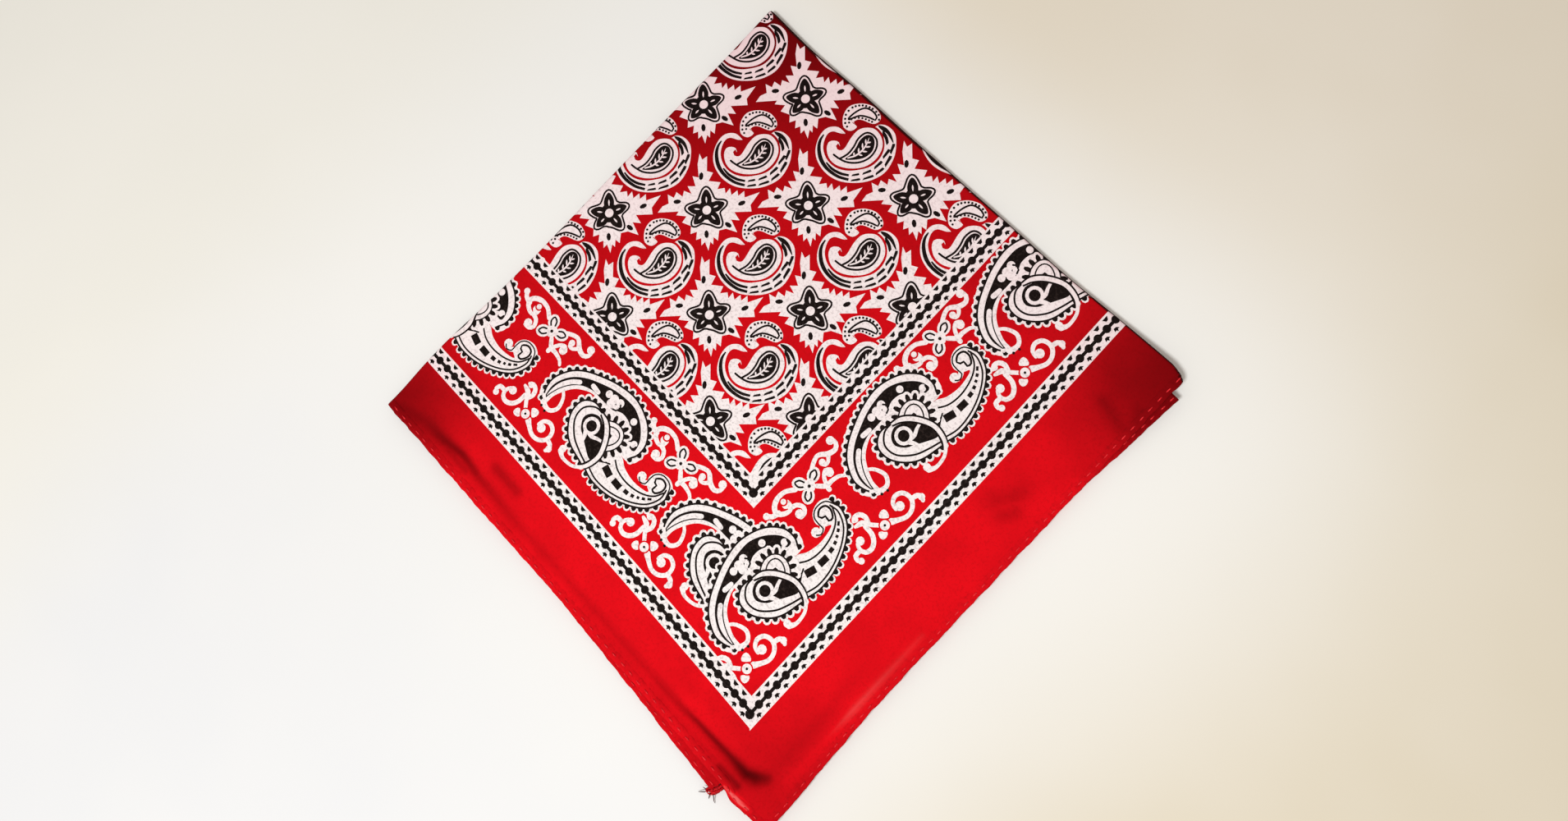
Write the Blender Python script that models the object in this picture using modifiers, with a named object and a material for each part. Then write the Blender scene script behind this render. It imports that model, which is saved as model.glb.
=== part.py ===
"""A cotton bandana folded in four and laid flat with its loose point down. Metres, +Z up, the table at z = 0.

The cloth is a hemmed square, folded in half twice, so four layers lie on each other. They are joined by the
folds along the two upper sides and are loose along the two lower sides, where the hems are stacked.
A place in the cloth is given by two distances from the cloth's centre point, which is the top corner of the
folded square: `right`, down the right-hand fold, and `left`, down the left-hand fold.
"""

import math

import bmesh
import bpy
from mathutils import Euler, Matrix, Vector

MM = 0.001

# ---- driving sizes ---------------------------------------------------------------------------------------

CENTRE_POINT = Vector((-0.12, 194.91, 0.0)) * MM  # the top corner, where the two folds cross
SKEW = math.radians(1.1)  # the folded square is pulled a little longer on its upright diagonal
PANEL_LENGTH = 266.0 * MM  # nominal length of a layer, from fold to hem, that the spacing below is counted on

WALL = 1.0 * MM  # one layer of cloth with its slack
SEAM_GAP = 0.3 * MM  # clearance between pieces
FOLD_PARTING = 0.85 * MM  # between the front and back layers' outer faces, halfway round a fold
LAYER_STEP = WALL + SEAM_GAP
BACK_UNDERSIDE = 0.0
INNER_UNDERSIDE = BACK_UNDERSIDE + LAYER_STEP
INNER_TOP = INNER_UNDERSIDE + 2 * WALL + SEAM_GAP
FRONT_TOP = INNER_TOP + LAYER_STEP
MID_HEIGHT = FRONT_TOP / 2  # where the front layer meets the back one, on the outside of a fold

HEM_WIDTH = 4.5 * MM
HEM_PROUD = 0.3 * MM  # the turned hem stands this much above its panel
HEM_ROUNDING = 0.08 * MM

FIELD_SPACING = 13.0 * MM  # between the rows of points in the flat printed field
MARGIN_SPACING = 3.6 * MM  # between the rows of points in the creased margin
MARGIN_WIDTH = 36.0 * MM
HEM_SPACING = 11.0 * MM  # between the sections of a hem
ARC_STEPS = 4  # facets round a quarter of a fold
MERGE = 0.05 * MM
REACH = 2.6 * MM  # the layers below keep clear of the front layer's troughs by this much to each side
INNER_CLEARANCE = 0.1 * MM  # extra room round the inner layers' folds
THIRD_FOLLOWS = 0.45  # how much of the second layer's relief the third layer takes up

# Where the edges lie, in millimetres from the centre point, at five even steps down each edge. A fold line is
# where the cloth starts to turn down, and all four layers turn there.
FOLD_LINES = {
    "left": (5.4, 6.2, 5.8, 5.0, 1.4),
    "right": (0.9, 1.2, -1.6, -2.0, 0.9),
}
HEM_COLUMNS = ("right_hem", "left_hem")
HEM_LINES = {
    "front": ((268.2, 267.8, 267.3, 267.2, 269.8), (269.7, 269.8, 269.6, 269.4, 269.8)),
    "second": ((272.3, 267.6, 262.0, 252.0, 240.0), (269.2, 269.5, 270.0, 272.3, 275.3)),
    "third": ((270.8, 266.5, 261.0, 251.0, 238.5), (268.6, 268.8, 269.2, 271.2, 273.9)),
    "back": ((266.5, 265.5, 264.0, 262.0, 258.0), (268.9, 268.9, 269.0, 270.4, 272.2)),
}

# The main folds in the front layer, each a soft ridge or trough along a line: its two ends as (right, left),
# its height at each end, below zero for a trough, and its half width at each end, in millimetres.
RELIEF_COLUMNS = ("start", "end", "height_start", "height_end", "spread_start", "spread_end")
RELIEF = {
    "pile of hems": ((150, 266), (262, 262), 0.6, 3.0, 9, 12),
    "roll beside the trough": ((160, 250), (246, 246), 0.5, 1.6, 10, 11),
    "long trough": ((158, 260), (248, 257.5), -0.5, -2.4, 3.6, 4.4),
    "end of the trough": ((248, 257), (257, 250), -0.4, -0.4, 4.0, 4.5),
    "left corner trough": ((6, 256), (26, 252), -0.4, -0.4, 3.5, 3.5),
    "left margin trough": ((28, 256), (76, 255), -0.4, -0.4, 3.5, 3.5),
    "left margin roll": ((4, 267), (90, 267), 0.7, 0.6, 5.0, 5.0),
    "upper dent in the right margin": ((242, 112), (250, 104), -0.5, -0.4, 6.0, 6.0),
    "lower dent in the right margin": ((250, 116), (254, 104), -0.5, -0.4, 5.0, 5.0),
    "roll at the right hem": ((262, 60), (262, 240), 0.5, 0.6, 8.0, 8.0),
    "lifted right corner": ((266, 2), (268, 22), 3.6, 2.2, 26.0, 22.0),
    "right fold": ((150, 4), (262, 4), 0.4, 1.2, 12.0, 14.0),
    "lifted top corner": ((6, 4), (16, 8), 1.1, 0.5, 12.0, 14.0),
    "swell of the field": ((70, 90), (150, 150), 0.6, 0.5, 50.0, 45.0),
}

# Frayed ends of the hem thread at the corner of the inner layers: where each points, its rise, its length and
# its root radius.
TUFT_PLACE = (239.3, 278.2)  # right, left
TUFT_HEIGHT = 2.5 * MM
TUFT_HALF_SIZE = Vector((3.5, 2.6, 1.35)) * MM
THREAD_COLUMNS = ("bearing_deg", "rise_deg", "length_mm", "root_mm")
THREADS = (
    (158, 4, 6.6, 0.55),
    (186, 10, 7.4, 0.50),
    (206, -6, 7.0, 0.55),
    (230, 2, 6.4, 0.60),
    (256, 8, 6.8, 0.50),
    (282, -4, 7.6, 0.50),
)
THREAD_TIP = 0.28  # of the root's radius

RED_COTTON = (0.66, 0.012, 0.022, 1.0)
RED_HEM = (0.60, 0.010, 0.020, 1.0)
RED_THREAD = (0.48, 0.008, 0.016, 1.0)
CLOTH_ROUGHNESS = 0.85


# ---- the cloth's shape -----------------------------------------------------------------------------------


def along_edge(values, share):
    """A smooth curve through evenly spaced values, from the start of an edge to its end."""
    steps = len(values) - 1
    step = min(int(share * steps), steps - 1)
    t = share * steps - step
    before, start, end, after = (values[min(max(step + k, 0), steps)] for k in (-1, 0, 1, 2))
    bend = 2 * before - 5 * start + 4 * end - after
    twist = 3 * (start - end) + after - before
    return (start + 0.5 * t * (end - before + t * (bend + t * twist))) * MM


def place(right, left, height):
    """The point of the model at two distances from the centre point."""
    down_right = Vector((math.cos(-math.pi / 4 - SKEW), math.sin(-math.pi / 4 - SKEW), 0.0))
    down_left = Vector((-down_right.x, down_right.y, 0.0))
    return CENTRE_POINT + down_right * right + down_left * left + Vector((0.0, 0.0, height))


def relief(right, left):
    """How far the front layer is raised at a place in the cloth."""
    spot = Vector((right, left)) / MM
    total = 0.0
    for start, end, height_start, height_end, spread_start, spread_end in RELIEF.values():
        start, end = Vector(start), Vector(end)
        run = end - start
        share = min(max((spot - start).dot(run) / run.length_squared, 0.0), 1.0)
        spread = spread_start + (spread_end - spread_start) * share
        distance = (spot - start - run * share).length
        height = height_start + (height_end - height_start) * share
        total += height * math.exp(-((distance / spread) ** 2))
    return total * MM


def hidden_relief(right, left):
    """How far the layers below are raised: no higher than the front layer anywhere within reach of the place."""
    return min(relief(right + across * REACH, left + along * REACH) for across in (-1, 0, 1) for along in (-1, 0, 1))


def round_fold(distance, radius):
    """Past a fold line the cloth turns down a quarter circle: its shift outwards and the share it has dropped."""
    if distance >= 0:
        return distance, 0.0
    angle = min(-distance / radius, math.pi / 2)
    return -radius * math.sin(angle), 1 - math.cos(angle)


def cloth_point(layer, from_left_fold, from_right_fold, top, mid, radius, follows=1.0):
    """A point of a layer's outer face. The two distances run along the cloth from its fold lines."""
    share_right = min(max(from_left_fold / PANEL_LENGTH, 0.0), 1.0)
    share_left = min(max(from_right_fold / PANEL_LENGTH, 0.0), 1.0)
    turn_right, drop_right = round_fold(from_left_fold, radius)
    turn_left, drop_left = round_fold(from_right_fold, radius)
    left_fold = along_edge(FOLD_LINES["left"], share_left)
    right_fold = along_edge(FOLD_LINES["right"], share_right)
    right_hem = along_edge(HEM_LINES[layer][HEM_COLUMNS.index("right_hem")], share_left)
    left_hem = along_edge(HEM_LINES[layer][HEM_COLUMNS.index("left_hem")], share_right)
    right = left_fold + (right_hem - left_fold) * share_right + min(turn_right, 0.0)
    left = right_fold + (left_hem - right_fold) * share_left + min(turn_left, 0.0)
    lift = relief(right, left) if layer == "front" else hidden_relief(right, left)
    flat_height = top + (lift if follows == 1.0 else follows * max(lift, 0.0))
    height = mid + (flat_height - mid) * (1 - drop_right) * (1 - drop_left)
    return place(right, left, height)


def stations(first, last, spacing, margin_from=None):
    """Evenly spaced places from first to last, closer together from margin_from on."""
    if margin_from is not None and first < margin_from < last:
        return stations(first, margin_from, spacing)[:-1] + stations(margin_from, last, MARGIN_SPACING)
    count = max(1, math.ceil((last - first) / spacing - 1e-6))
    return [first + (last - first) * step / count for step in range(count + 1)]


def fold_stations(radius):
    """Places round the quarter turn of a fold, before its fold line."""
    quarter = radius * math.pi / 2
    return [-quarter * (ARC_STEPS - step) / ARC_STEPS for step in range(ARC_STEPS)]


# ---- making the objects ----------------------------------------------------------------------------------


def material(name, colour):
    made = bpy.data.materials.new(name)
    made.use_nodes = True
    shader = made.node_tree.nodes["Principled BSDF"]
    shader.inputs["Base Color"].default_value = colour
    shader.inputs["Roughness"].default_value = CLOTH_ROUGHNESS
    shader.inputs["Metallic"].default_value = 0.0
    return made


def new_object(name, mesh_builder, colour, collection):
    mesh = bpy.data.meshes.new(name)
    mesh_builder.to_mesh(mesh)
    mesh_builder.free()
    made = bpy.data.objects.new(name, mesh)
    mesh.materials.append(material(name + "_cotton", colour))
    collection.objects.link(made)
    mesh.shade_smooth()
    mesh.set_sharp_from_angle(angle=math.radians(40))
    return made


def grid_of(across, along, point_at):
    """An open sheet with a point for each pair of places. Its front faces the way that across x along points."""
    sheet = bmesh.new()
    bmesh.ops.create_grid(sheet, x_segments=len(across) - 1, y_segments=len(along) - 1, size=0.5)
    for vertex in sheet.verts:
        column = round((vertex.co.x + 0.5) * (len(across) - 1))
        row = round((vertex.co.y + 0.5) * (len(along) - 1))
        vertex.co = point_at(across[column], along[row])
    sheet.normal_update()
    return sheet


def add_wall(made, thickness):
    """Gives an open sheet its wall, on the inner side of its faces."""
    wall = made.modifiers.new("wall", "SOLIDIFY")
    wall.thickness = thickness
    wall.offset = -1.0
    wall.use_even_offset = True
    return made


def front_quarter(collection):
    """The printed quarter on top, turned down halfway round both folds."""
    panel_end = PANEL_LENGTH - HEM_WIDTH - SEAM_GAP
    rows = fold_stations(MID_HEIGHT) + stations(0.0, panel_end, FIELD_SPACING, PANEL_LENGTH - MARGIN_WIDTH)
    sheet = grid_of(
        rows,
        rows,
        lambda left, right: cloth_point(
            "front", right, left, FRONT_TOP, MID_HEIGHT + FOLD_PARTING / 2, MID_HEIGHT
        ),
    )
    return add_wall(new_object("front_quarter", sheet, RED_COTTON, collection), WALL)


def back_quarter(collection):
    """The quarter underneath, flat on the table and turned up halfway round both folds."""
    panel_end = PANEL_LENGTH - HEM_WIDTH - SEAM_GAP
    rows = fold_stations(MID_HEIGHT) + stations(0.0, panel_end, 2 * FIELD_SPACING)
    sheet = grid_of(
        rows,
        rows,
        lambda right, left: cloth_point(
            "back", right, left, BACK_UNDERSIDE, MID_HEIGHT - FOLD_PARTING / 2, MID_HEIGHT, follows=0.0
        ),
    )
    return add_wall(new_object("back_quarter", sheet, RED_COTTON, collection), WALL)


def inner_layers(collection):
    """The two hidden layers as one solid, rounded inside the folds and stepped between them at the loose sides."""
    radius = (INNER_TOP - INNER_UNDERSIDE) / 2 - INNER_CLEARANCE
    panel_end = PANEL_LENGTH - HEM_WIDTH - SEAM_GAP
    rows = fold_stations(radius) + stations(0.0, panel_end, FIELD_SPACING, PANEL_LENGTH - MARGIN_WIDTH)
    levels = (
        ("second", INNER_TOP, 1.0),
        ("second", INNER_TOP - WALL, 1.0),
        ("third", INNER_UNDERSIDE + WALL, THIRD_FOLLOWS),
        ("third", INNER_UNDERSIDE, 0.0),
    )
    count = len(rows) - 1
    solid = bmesh.new()
    for level in (0, len(levels) - 1):
        bmesh.ops.create_grid(
            solid, x_segments=count, y_segments=count, size=0.5, matrix=Matrix.Translation((0.0, 0.0, level))
        )
    rim = [edge for edge in solid.edges if edge.is_boundary and edge.verts[0].co.z < 0.5]
    for _ in levels[1:]:
        grown = bmesh.ops.extrude_edge_only(solid, edges=rim)["geom"]
        moved = [part for part in grown if isinstance(part, bmesh.types.BMVert)]
        bmesh.ops.translate(solid, vec=(0.0, 0.0, 1.0), verts=moved)
        rim = [part for part in grown if isinstance(part, bmesh.types.BMEdge) and part.is_boundary]
    bmesh.ops.remove_doubles(solid, verts=solid.verts, dist=MERGE)
    for vertex in solid.verts:
        layer, top, follows = levels[round(vertex.co.z)]
        right, left = (rows[round((share + 0.5) * count)] for share in vertex.co.xy)
        vertex.co = cloth_point(layer, right, left, top, MID_HEIGHT, radius, follows)
    bmesh.ops.remove_doubles(solid, verts=solid.verts, dist=MERGE)
    bmesh.ops.recalc_face_normals(solid, faces=solid.faces)
    return new_object("inner_layers", solid, RED_COTTON, collection)


def hem(name, layer, side, top, follows, thickness, radius, mid, collection):
    """A narrow hem along one loose side of a layer, made on the layer's own points."""
    inner_line = PANEL_LENGTH - HEM_WIDTH
    across = [inner_line, inner_line + 0.3 * HEM_WIDTH, inner_line + 0.7 * HEM_WIDTH, PANEL_LENGTH]
    end = PANEL_LENGTH if side == "left" else inner_line - SEAM_GAP
    turn = fold_stations(radius) if radius else []
    along = turn + stations(0.0, end, HEM_SPACING)

    def point_at(place_along, place_across):
        right, left = (place_along, place_across) if side == "left" else (place_across, place_along)
        rounding = HEM_ROUNDING if layer == "front" and place_across in (across[0], across[-1]) else 0.0
        return cloth_point(layer, right, left, top - rounding, mid, radius or WALL, follows)

    strip = grid_of(along, across, point_at)
    if sum(face.normal.z for face in strip.faces) < 0:
        bmesh.ops.reverse_faces(strip, faces=strip.faces)
    return add_wall(new_object(name, strip, RED_HEM, collection), thickness)


def hems(collection):
    """The hems of the four layers, stacked at the two loose sides."""
    columns = ("layer", "top", "follows", "thickness", "radius", "mid")
    second_top = INNER_TOP
    third_top = INNER_UNDERSIDE + WALL
    front_edge = MID_HEIGHT + FOLD_PARTING / 2
    table = (
        ("front", FRONT_TOP + HEM_PROUD, 1.0, WALL + HEM_PROUD, MID_HEIGHT + HEM_PROUD, front_edge),
        ("second", second_top, 1.0, WALL, 0.0, 0.0),
        ("third", third_top, THIRD_FOLLOWS, WALL, 0.0, 0.0),
        ("back", BACK_UNDERSIDE + WALL, 0.0, WALL, 0.0, 0.0),
    )
    for row in table:
        layer, top, follows, thickness, radius, mid = (row[columns.index(column)] for column in columns)
        for side in ("left", "right"):
            hem(f"{layer}_hem_{side}", layer, side, top, follows, thickness, radius, mid, collection)


def thread_tuft(collection, cutters):
    """The frayed ends of the hem threads, gathered in one small knot at the corner of the inner layers."""
    right, left = TUFT_PLACE
    centre = place(right * MM, left * MM, TUFT_HEIGHT)
    knot = bmesh.new()
    bmesh.ops.create_icosphere(knot, subdivisions=2, radius=1.0)
    turn = Matrix.Rotation(-math.pi / 4 - SKEW, 4, "Z")
    bmesh.ops.transform(
        knot, matrix=Matrix.Translation(centre) @ turn @ Matrix.Diagonal(TUFT_HALF_SIZE).to_4x4(), verts=knot.verts
    )
    tuft = new_object("thread_tuft", knot, RED_THREAD, collection)
    for number, (bearing, rise, length, root) in enumerate(THREADS, start=1):
        strand = bmesh.new()
        bmesh.ops.create_cone(
            strand,
            cap_ends=True,
            segments=4,
            radius1=root * MM,
            radius2=root * MM * THREAD_TIP,
            depth=length * MM,
        )
        heading = Euler((0.0, math.radians(90 - rise), math.radians(bearing))).to_matrix().to_4x4()
        reach = Matrix.Translation((0.0, 0.0, length * MM / 2))
        bmesh.ops.transform(strand, matrix=Matrix.Translation(centre) @ heading @ reach, verts=strand.verts)
        cutter = new_object(f"thread_{number}", strand, RED_THREAD, cutters)
        cutter.hide_render = True
        cutter.display_type = "WIRE"
        union = tuft.modifiers.new(f"thread_{number}", "BOOLEAN")
        union.operation = "UNION"
        union.object = cutter
    return tuft


def new_collection(name):
    made = bpy.data.collections.new(name)
    bpy.context.scene.collection.children.link(made)
    return made


def main():
    for item in list(bpy.data.objects):
        bpy.data.objects.remove(item)
    pieces = new_collection("folded_bandana")
    cutters = new_collection("cutters")
    front_quarter(pieces)
    inner_layers(pieces)
    back_quarter(pieces)
    hems(pieces)
    thread_tuft(pieces, cutters)


main()
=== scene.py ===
import math

import bmesh
import bpy
import numpy as np
from mathutils import Matrix, Vector
from mathutils.geometry import delaunay_2d_cdt


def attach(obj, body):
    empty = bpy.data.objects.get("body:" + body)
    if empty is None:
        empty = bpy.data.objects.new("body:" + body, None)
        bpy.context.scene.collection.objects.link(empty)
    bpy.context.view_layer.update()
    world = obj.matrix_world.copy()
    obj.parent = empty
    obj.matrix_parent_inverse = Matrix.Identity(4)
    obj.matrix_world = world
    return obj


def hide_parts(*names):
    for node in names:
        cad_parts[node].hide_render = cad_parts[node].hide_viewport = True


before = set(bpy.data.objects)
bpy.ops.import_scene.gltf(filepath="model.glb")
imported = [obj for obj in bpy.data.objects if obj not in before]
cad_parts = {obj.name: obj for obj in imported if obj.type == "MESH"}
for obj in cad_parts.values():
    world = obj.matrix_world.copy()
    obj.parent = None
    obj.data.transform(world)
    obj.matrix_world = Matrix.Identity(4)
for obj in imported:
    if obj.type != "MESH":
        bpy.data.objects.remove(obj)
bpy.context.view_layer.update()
MM = 0.001


# ---- The view ---------------------------------------------------------------------------------------------
# A hand-held camera about half a metre above the cloth, leaning slightly over its lower right side.

looks_along = Vector((-0.1445, 0.1495, -0.9781)).normalized()
across_view = looks_along.cross(Vector((0.0251, 0.9888, 0.1474))).normalized()
camera_data = bpy.data.cameras.new("camera")
camera_data.lens = 24.5
camera_data.sensor_width = 36.0
camera_data.clip_start = 0.01
camera = bpy.data.objects.new("camera", camera_data)
camera.matrix_world = Matrix.Translation((0.08008, -0.08019, 0.4887)) @ Matrix(
    (across_view, across_view.cross(looks_along), -looks_along)
).transposed().to_4x4()
bpy.context.scene.collection.objects.link(camera)
bpy.context.scene.camera = camera


# ---- The floor --------------------------------------------------------------------------------------------
# A plain, pale, matt floor that the cloth is laid on. Its tint drifts from side to side and fades outwards.


def new_piece(name, shape, *finishes):
    """A piece made from a finished bmesh, with its materials in slot order."""
    mesh = bpy.data.meshes.new(name)
    shape.to_mesh(mesh)
    shape.free()
    for finish in finishes:
        mesh.materials.append(finish)
    made = bpy.data.objects.new(name, mesh)
    bpy.context.scene.collection.objects.link(made)
    mesh.shade_smooth()
    return made


def new_material(name, roughness, specular):
    """A material whose base colour is still to be wired: its nodes, its links and its shader."""
    made = bpy.data.materials.new(name)
    made.use_nodes = True
    nodes, links = made.node_tree.nodes, made.node_tree.links
    shader = nodes["Principled BSDF"]
    shader.inputs["Roughness"].default_value = roughness
    shader.inputs["Specular IOR Level"].default_value = specular
    return made, nodes, links, shader


def noise(nodes, links, place, size, detail=2.0, roughness=0.5):
    """Cloudy variation whose patches are about this wide, in metres."""
    made = nodes.new("ShaderNodeTexNoise")
    made.inputs["Scale"].default_value = 1.0 / size
    made.inputs["Detail"].default_value = detail
    made.inputs["Roughness"].default_value = roughness
    links.new(place, made.inputs["Vector"])
    return made.outputs["Fac"]


def ramp(nodes, links, value, low, high, out_low=0.0, out_high=1.0):
    """Spreads a value from low to high over the range from out_low to out_high."""
    made = nodes.new("ShaderNodeMapRange")
    made.interpolation_type = "SMOOTHSTEP"
    for socket, number in zip(("From Min", "From Max", "To Min", "To Max"), (low, high, out_low, out_high)):
        made.inputs[socket].default_value = number
    links.new(value, made.inputs["Value"])
    return made.outputs["Result"]


def blend_colours(nodes, links, share, first, second):
    """One colour turning into another. Either is a colour or the output of another node."""
    made = nodes.new("ShaderNodeMix")
    made.data_type = "RGBA"
    links.new(share, made.inputs["Factor"])
    for socket, colour in ((made.inputs[6], first), (made.inputs[7], second)):
        if isinstance(colour, tuple):
            socket.default_value = (*colour, 1.0)
        else:
            links.new(colour, socket)
    return made.outputs[2]


def floor_finish():
    """The floor's colour: a tint that changes each way, a painted pool of light beside the cloth, and a greyer
    distance.
    """
    made, nodes, links, shader = new_material("pale_floor", 0.6, 0.3)
    place = nodes.new("ShaderNodeTexCoord").outputs["Object"]

    def measure(operation, other):
        """How far each place on the floor is, along a direction or from a point."""
        reached = nodes.new("ShaderNodeVectorMath")
        reached.operation = operation
        reached.inputs[1].default_value = other
        links.new(place, reached.inputs[0])
        return reached.outputs["Value"]

    colour = (0.80, 0.79, 0.76)
    for towards, near, far, tint in (
        ((-0.7, -0.7), 0.07, 0.27, (0.735, 0.735, 0.735)),
        ((0.7, 0.7), 0.11, 0.22, (0.725, 0.655, 0.54)),
        ((0.7, -0.7), 0.10, 0.27, (0.70, 0.62, 0.47)),
        ((-0.7, 0.7), 0.16, 0.30, (0.775, 0.755, 0.69)),
    ):
        reach = measure("DOT_PRODUCT", (*towards, 0.0))
        colour = blend_colours(nodes, links, ramp(nodes, links, reach, near, far), colour, tint)
    # Painted light: a brighter patch beside the cloth's right side, where its shade would darken the floor.
    painted_light_pool = ramp(nodes, links, measure("DISTANCE", (0.17, -0.02, 0.0)), 0.0, 0.22, 0.6, 0.0)
    colour = blend_colours(nodes, links, painted_light_pool, colour, (0.90, 0.89, 0.85))
    cloudy = ramp(nodes, links, noise(nodes, links, place, 0.12), 0.35, 0.65, 0.0, 0.12)
    colour = blend_colours(nodes, links, cloudy, colour, (0.86, 0.83, 0.78))
    outwards = ramp(nodes, links, measure("LENGTH", (0.0, 0.0, 0.0)), 0.45, 0.95)
    colour = blend_colours(nodes, links, outwards, colour, (0.765, 0.745, 0.70))
    links.new(colour, shader.inputs["Base Color"])
    return made


plane = bmesh.new()
bmesh.ops.create_grid(plane, x_segments=2, y_segments=2, size=12.0)
bmesh.ops.translate(plane, vec=(0.0, 0.0, -0.0002), verts=plane.verts)
floor = new_piece("floor", plane, floor_finish())


# ---- The light --------------------------------------------------------------------------------------------
# Soft light from all round, and one lamp above the lower left side, wide enough to soften its shadows.

world = bpy.data.worlds.new("daylight")
world.use_nodes = True
world.node_tree.nodes["Background"].inputs["Color"].default_value = (1.0, 0.93, 0.87, 1.0)
world.node_tree.nodes["Background"].inputs["Strength"].default_value = 0.53
bpy.context.scene.world = world
lamp = bpy.data.lights.new("window", "AREA")
lamp.shape = "DISK"
lamp.size = 0.30
lamp.energy = 14.0
lamp.color = (0.944, 0.976, 1.0)
light = bpy.data.objects.new("window", lamp)
light.location = (-0.34, -0.50, 1.27)
light.rotation_euler = (-light.location).to_track_quat("-Z", "Y").to_euler()
bpy.context.scene.collection.objects.link(light)
bpy.context.scene.view_settings.view_transform = "Standard"
bpy.context.scene.view_settings.look = "None"


# ---- The lie of the cloth ---------------------------------------------------------------------------------
# Cotton lawn, folded in half twice. A place on it is given by how far it is, in millimetres, from the centre of
# the whole cloth along its two folded sides: right down the right-hand one, left down the left-hand one.

CENTRE = np.array([-0.12, 194.91])
SKEW = math.radians(1.1)
SIDE = 266.0  # the length of a loose side, over which its stations are spread
TOP = 4.9  # the height of the upper quarter's face
MIDDLE = 2.45  # the height halfway round a fold
STITCH_PITCH = 5.6  # from one stitch to the next, and from one pucker of the hem to the next
OTHER_SIDE = {"left": "right", "right": "left"}
FOLD_LINES = {
    "left": (5.4, 5.1, 4.4, 3.9, 3.6, 3.2, 1.9, -0.1, 0.6),
    "right": (0.9, 2.1, 1.4, 1.5, 1.25, 0.95, 0.8, -0.6, -1.1),
}
HEM_LINES = {
    ("front", "right"): (268.2, 267.8, 267.3, 267.2, 269.8),
    ("front", "left"): (269.7, 269.8, 269.6, 269.4, 269.8),
    ("second", "right"): (272.3, 267.6, 262.0, 252.0, 240.0),
    ("second", "left"): (269.2, 269.5, 270.0, 272.3, 275.3),
    ("third", "right"): (270.8, 266.5, 261.0, 251.0, 238.5),
    ("third", "left"): (268.6, 268.8, 269.2, 271.2, 273.9),
    ("back", "right"): (266.5, 265.5, 264.0, 262.0, 258.0),
    ("back", "left"): (268.9, 268.9, 269.0, 270.4, 272.2),
}
# Ridges, and troughs below zero: both ends as right and left, the height and then the half width at each end.
CREASES = (
    (150, 266, 262, 262, 0.6, 3.0, 9, 12),
    (160, 250, 246, 246, 0.5, 1.6, 10, 11),
    (158, 260, 248, 257.5, -0.5, -2.4, 3.6, 4.4),
    (248, 257, 257, 250, -0.4, -0.4, 4.0, 4.5),
    (6, 256, 26, 252, -0.4, -0.4, 3.5, 3.5),
    (28, 256, 76, 255, -0.4, -0.4, 3.5, 3.5),
    (4, 267, 90, 267, 0.7, 0.6, 5.0, 5.0),
    (242, 112, 250, 104, -0.5, -0.4, 6.0, 6.0),
    (250, 116, 254, 104, -0.5, -0.4, 5.0, 5.0),
    (262, 60, 262, 240, 0.5, 0.6, 8.0, 8.0),
    (266, 2, 268, 22, 3.6, 2.2, 26.0, 22.0),
    (150, 4, 262, 4, 0.4, 1.2, 12.0, 14.0),
    (6, 4, 16, 8, 1.1, 0.5, 12.0, 14.0),
    (70, 90, 150, 150, 0.6, 0.5, 50.0, 45.0),
    (196, 260.2, 215, 259.2, -0.8, -1.4, 2.2, 1.9),
    (215, 259.2, 235, 258.4, -1.4, -2.0, 1.9, 2.1),
    (235, 258.4, 246, 258.2, -2.0, -2.9, 2.1, 3.0),
    (246, 258.2, 250, 256.2, -2.9, -2.7, 3.0, 3.2),
    (250, 256.2, 254, 253.2, -2.7, -1.2, 3.2, 2.6),
    (200, 253.5, 246, 251.0, 0.4, 0.9, 4.0, 5.0),
    (215, 264.2, 235, 264.8, -0.3, -0.6, 1.4, 1.4),
    (235, 264.8, 247, 264.6, -0.9, -1.0, 1.4, 1.6),
    (140, 267.4, 180, 265.2, -0.3, -0.5, 2.6, 2.4),
    (180, 265.2, 214, 262.3, -0.5, -0.6, 2.4, 2.0),
    (240, 268.6, 258, 267.6, 0.5, 0.6, 2.0, 2.4),
    (108, 260.6, 150, 260.2, -0.5, -0.6, 2.6, 2.6),
    (150, 260.2, 196, 260.2, -0.6, -0.7, 2.6, 2.2),
    (126, 265.8, 158, 266.2, -0.4, -0.4, 1.8, 1.8),
    (4, 264.0, 20, 260.5, -0.6, -0.8, 2.6, 2.8),
    (20, 260.5, 32, 260.4, -0.8, -0.9, 2.8, 2.6),
    (32, 260.4, 45, 258.2, -0.9, -1.1, 2.6, 2.2),
    (45, 258.2, 57, 259.6, -1.1, -1.0, 2.2, 2.2),
    (57, 259.6, 108, 260.6, -0.9, -0.5, 2.2, 2.6),
    (64, 250.8, 78, 250.8, -0.5, -0.4, 2.6, 2.6),
    (245, 92, 249.5, 85, -0.6, -0.7, 2.6, 3.0),
    (250.5, 97, 254, 91, -0.6, -0.6, 2.4, 2.4),
    (256, 150, 259, 196, 0.3, 0.3, 3.5, 3.5),
    (252, 16, 262, 40, 0.5, 0.3, 4.0, 5.0),
    (236, 12, 250, 22, -0.5, -0.6, 4.0, 4.0),
    (249, 29, 262, 33, -0.5, -0.6, 3.0, 3.0),
)
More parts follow.
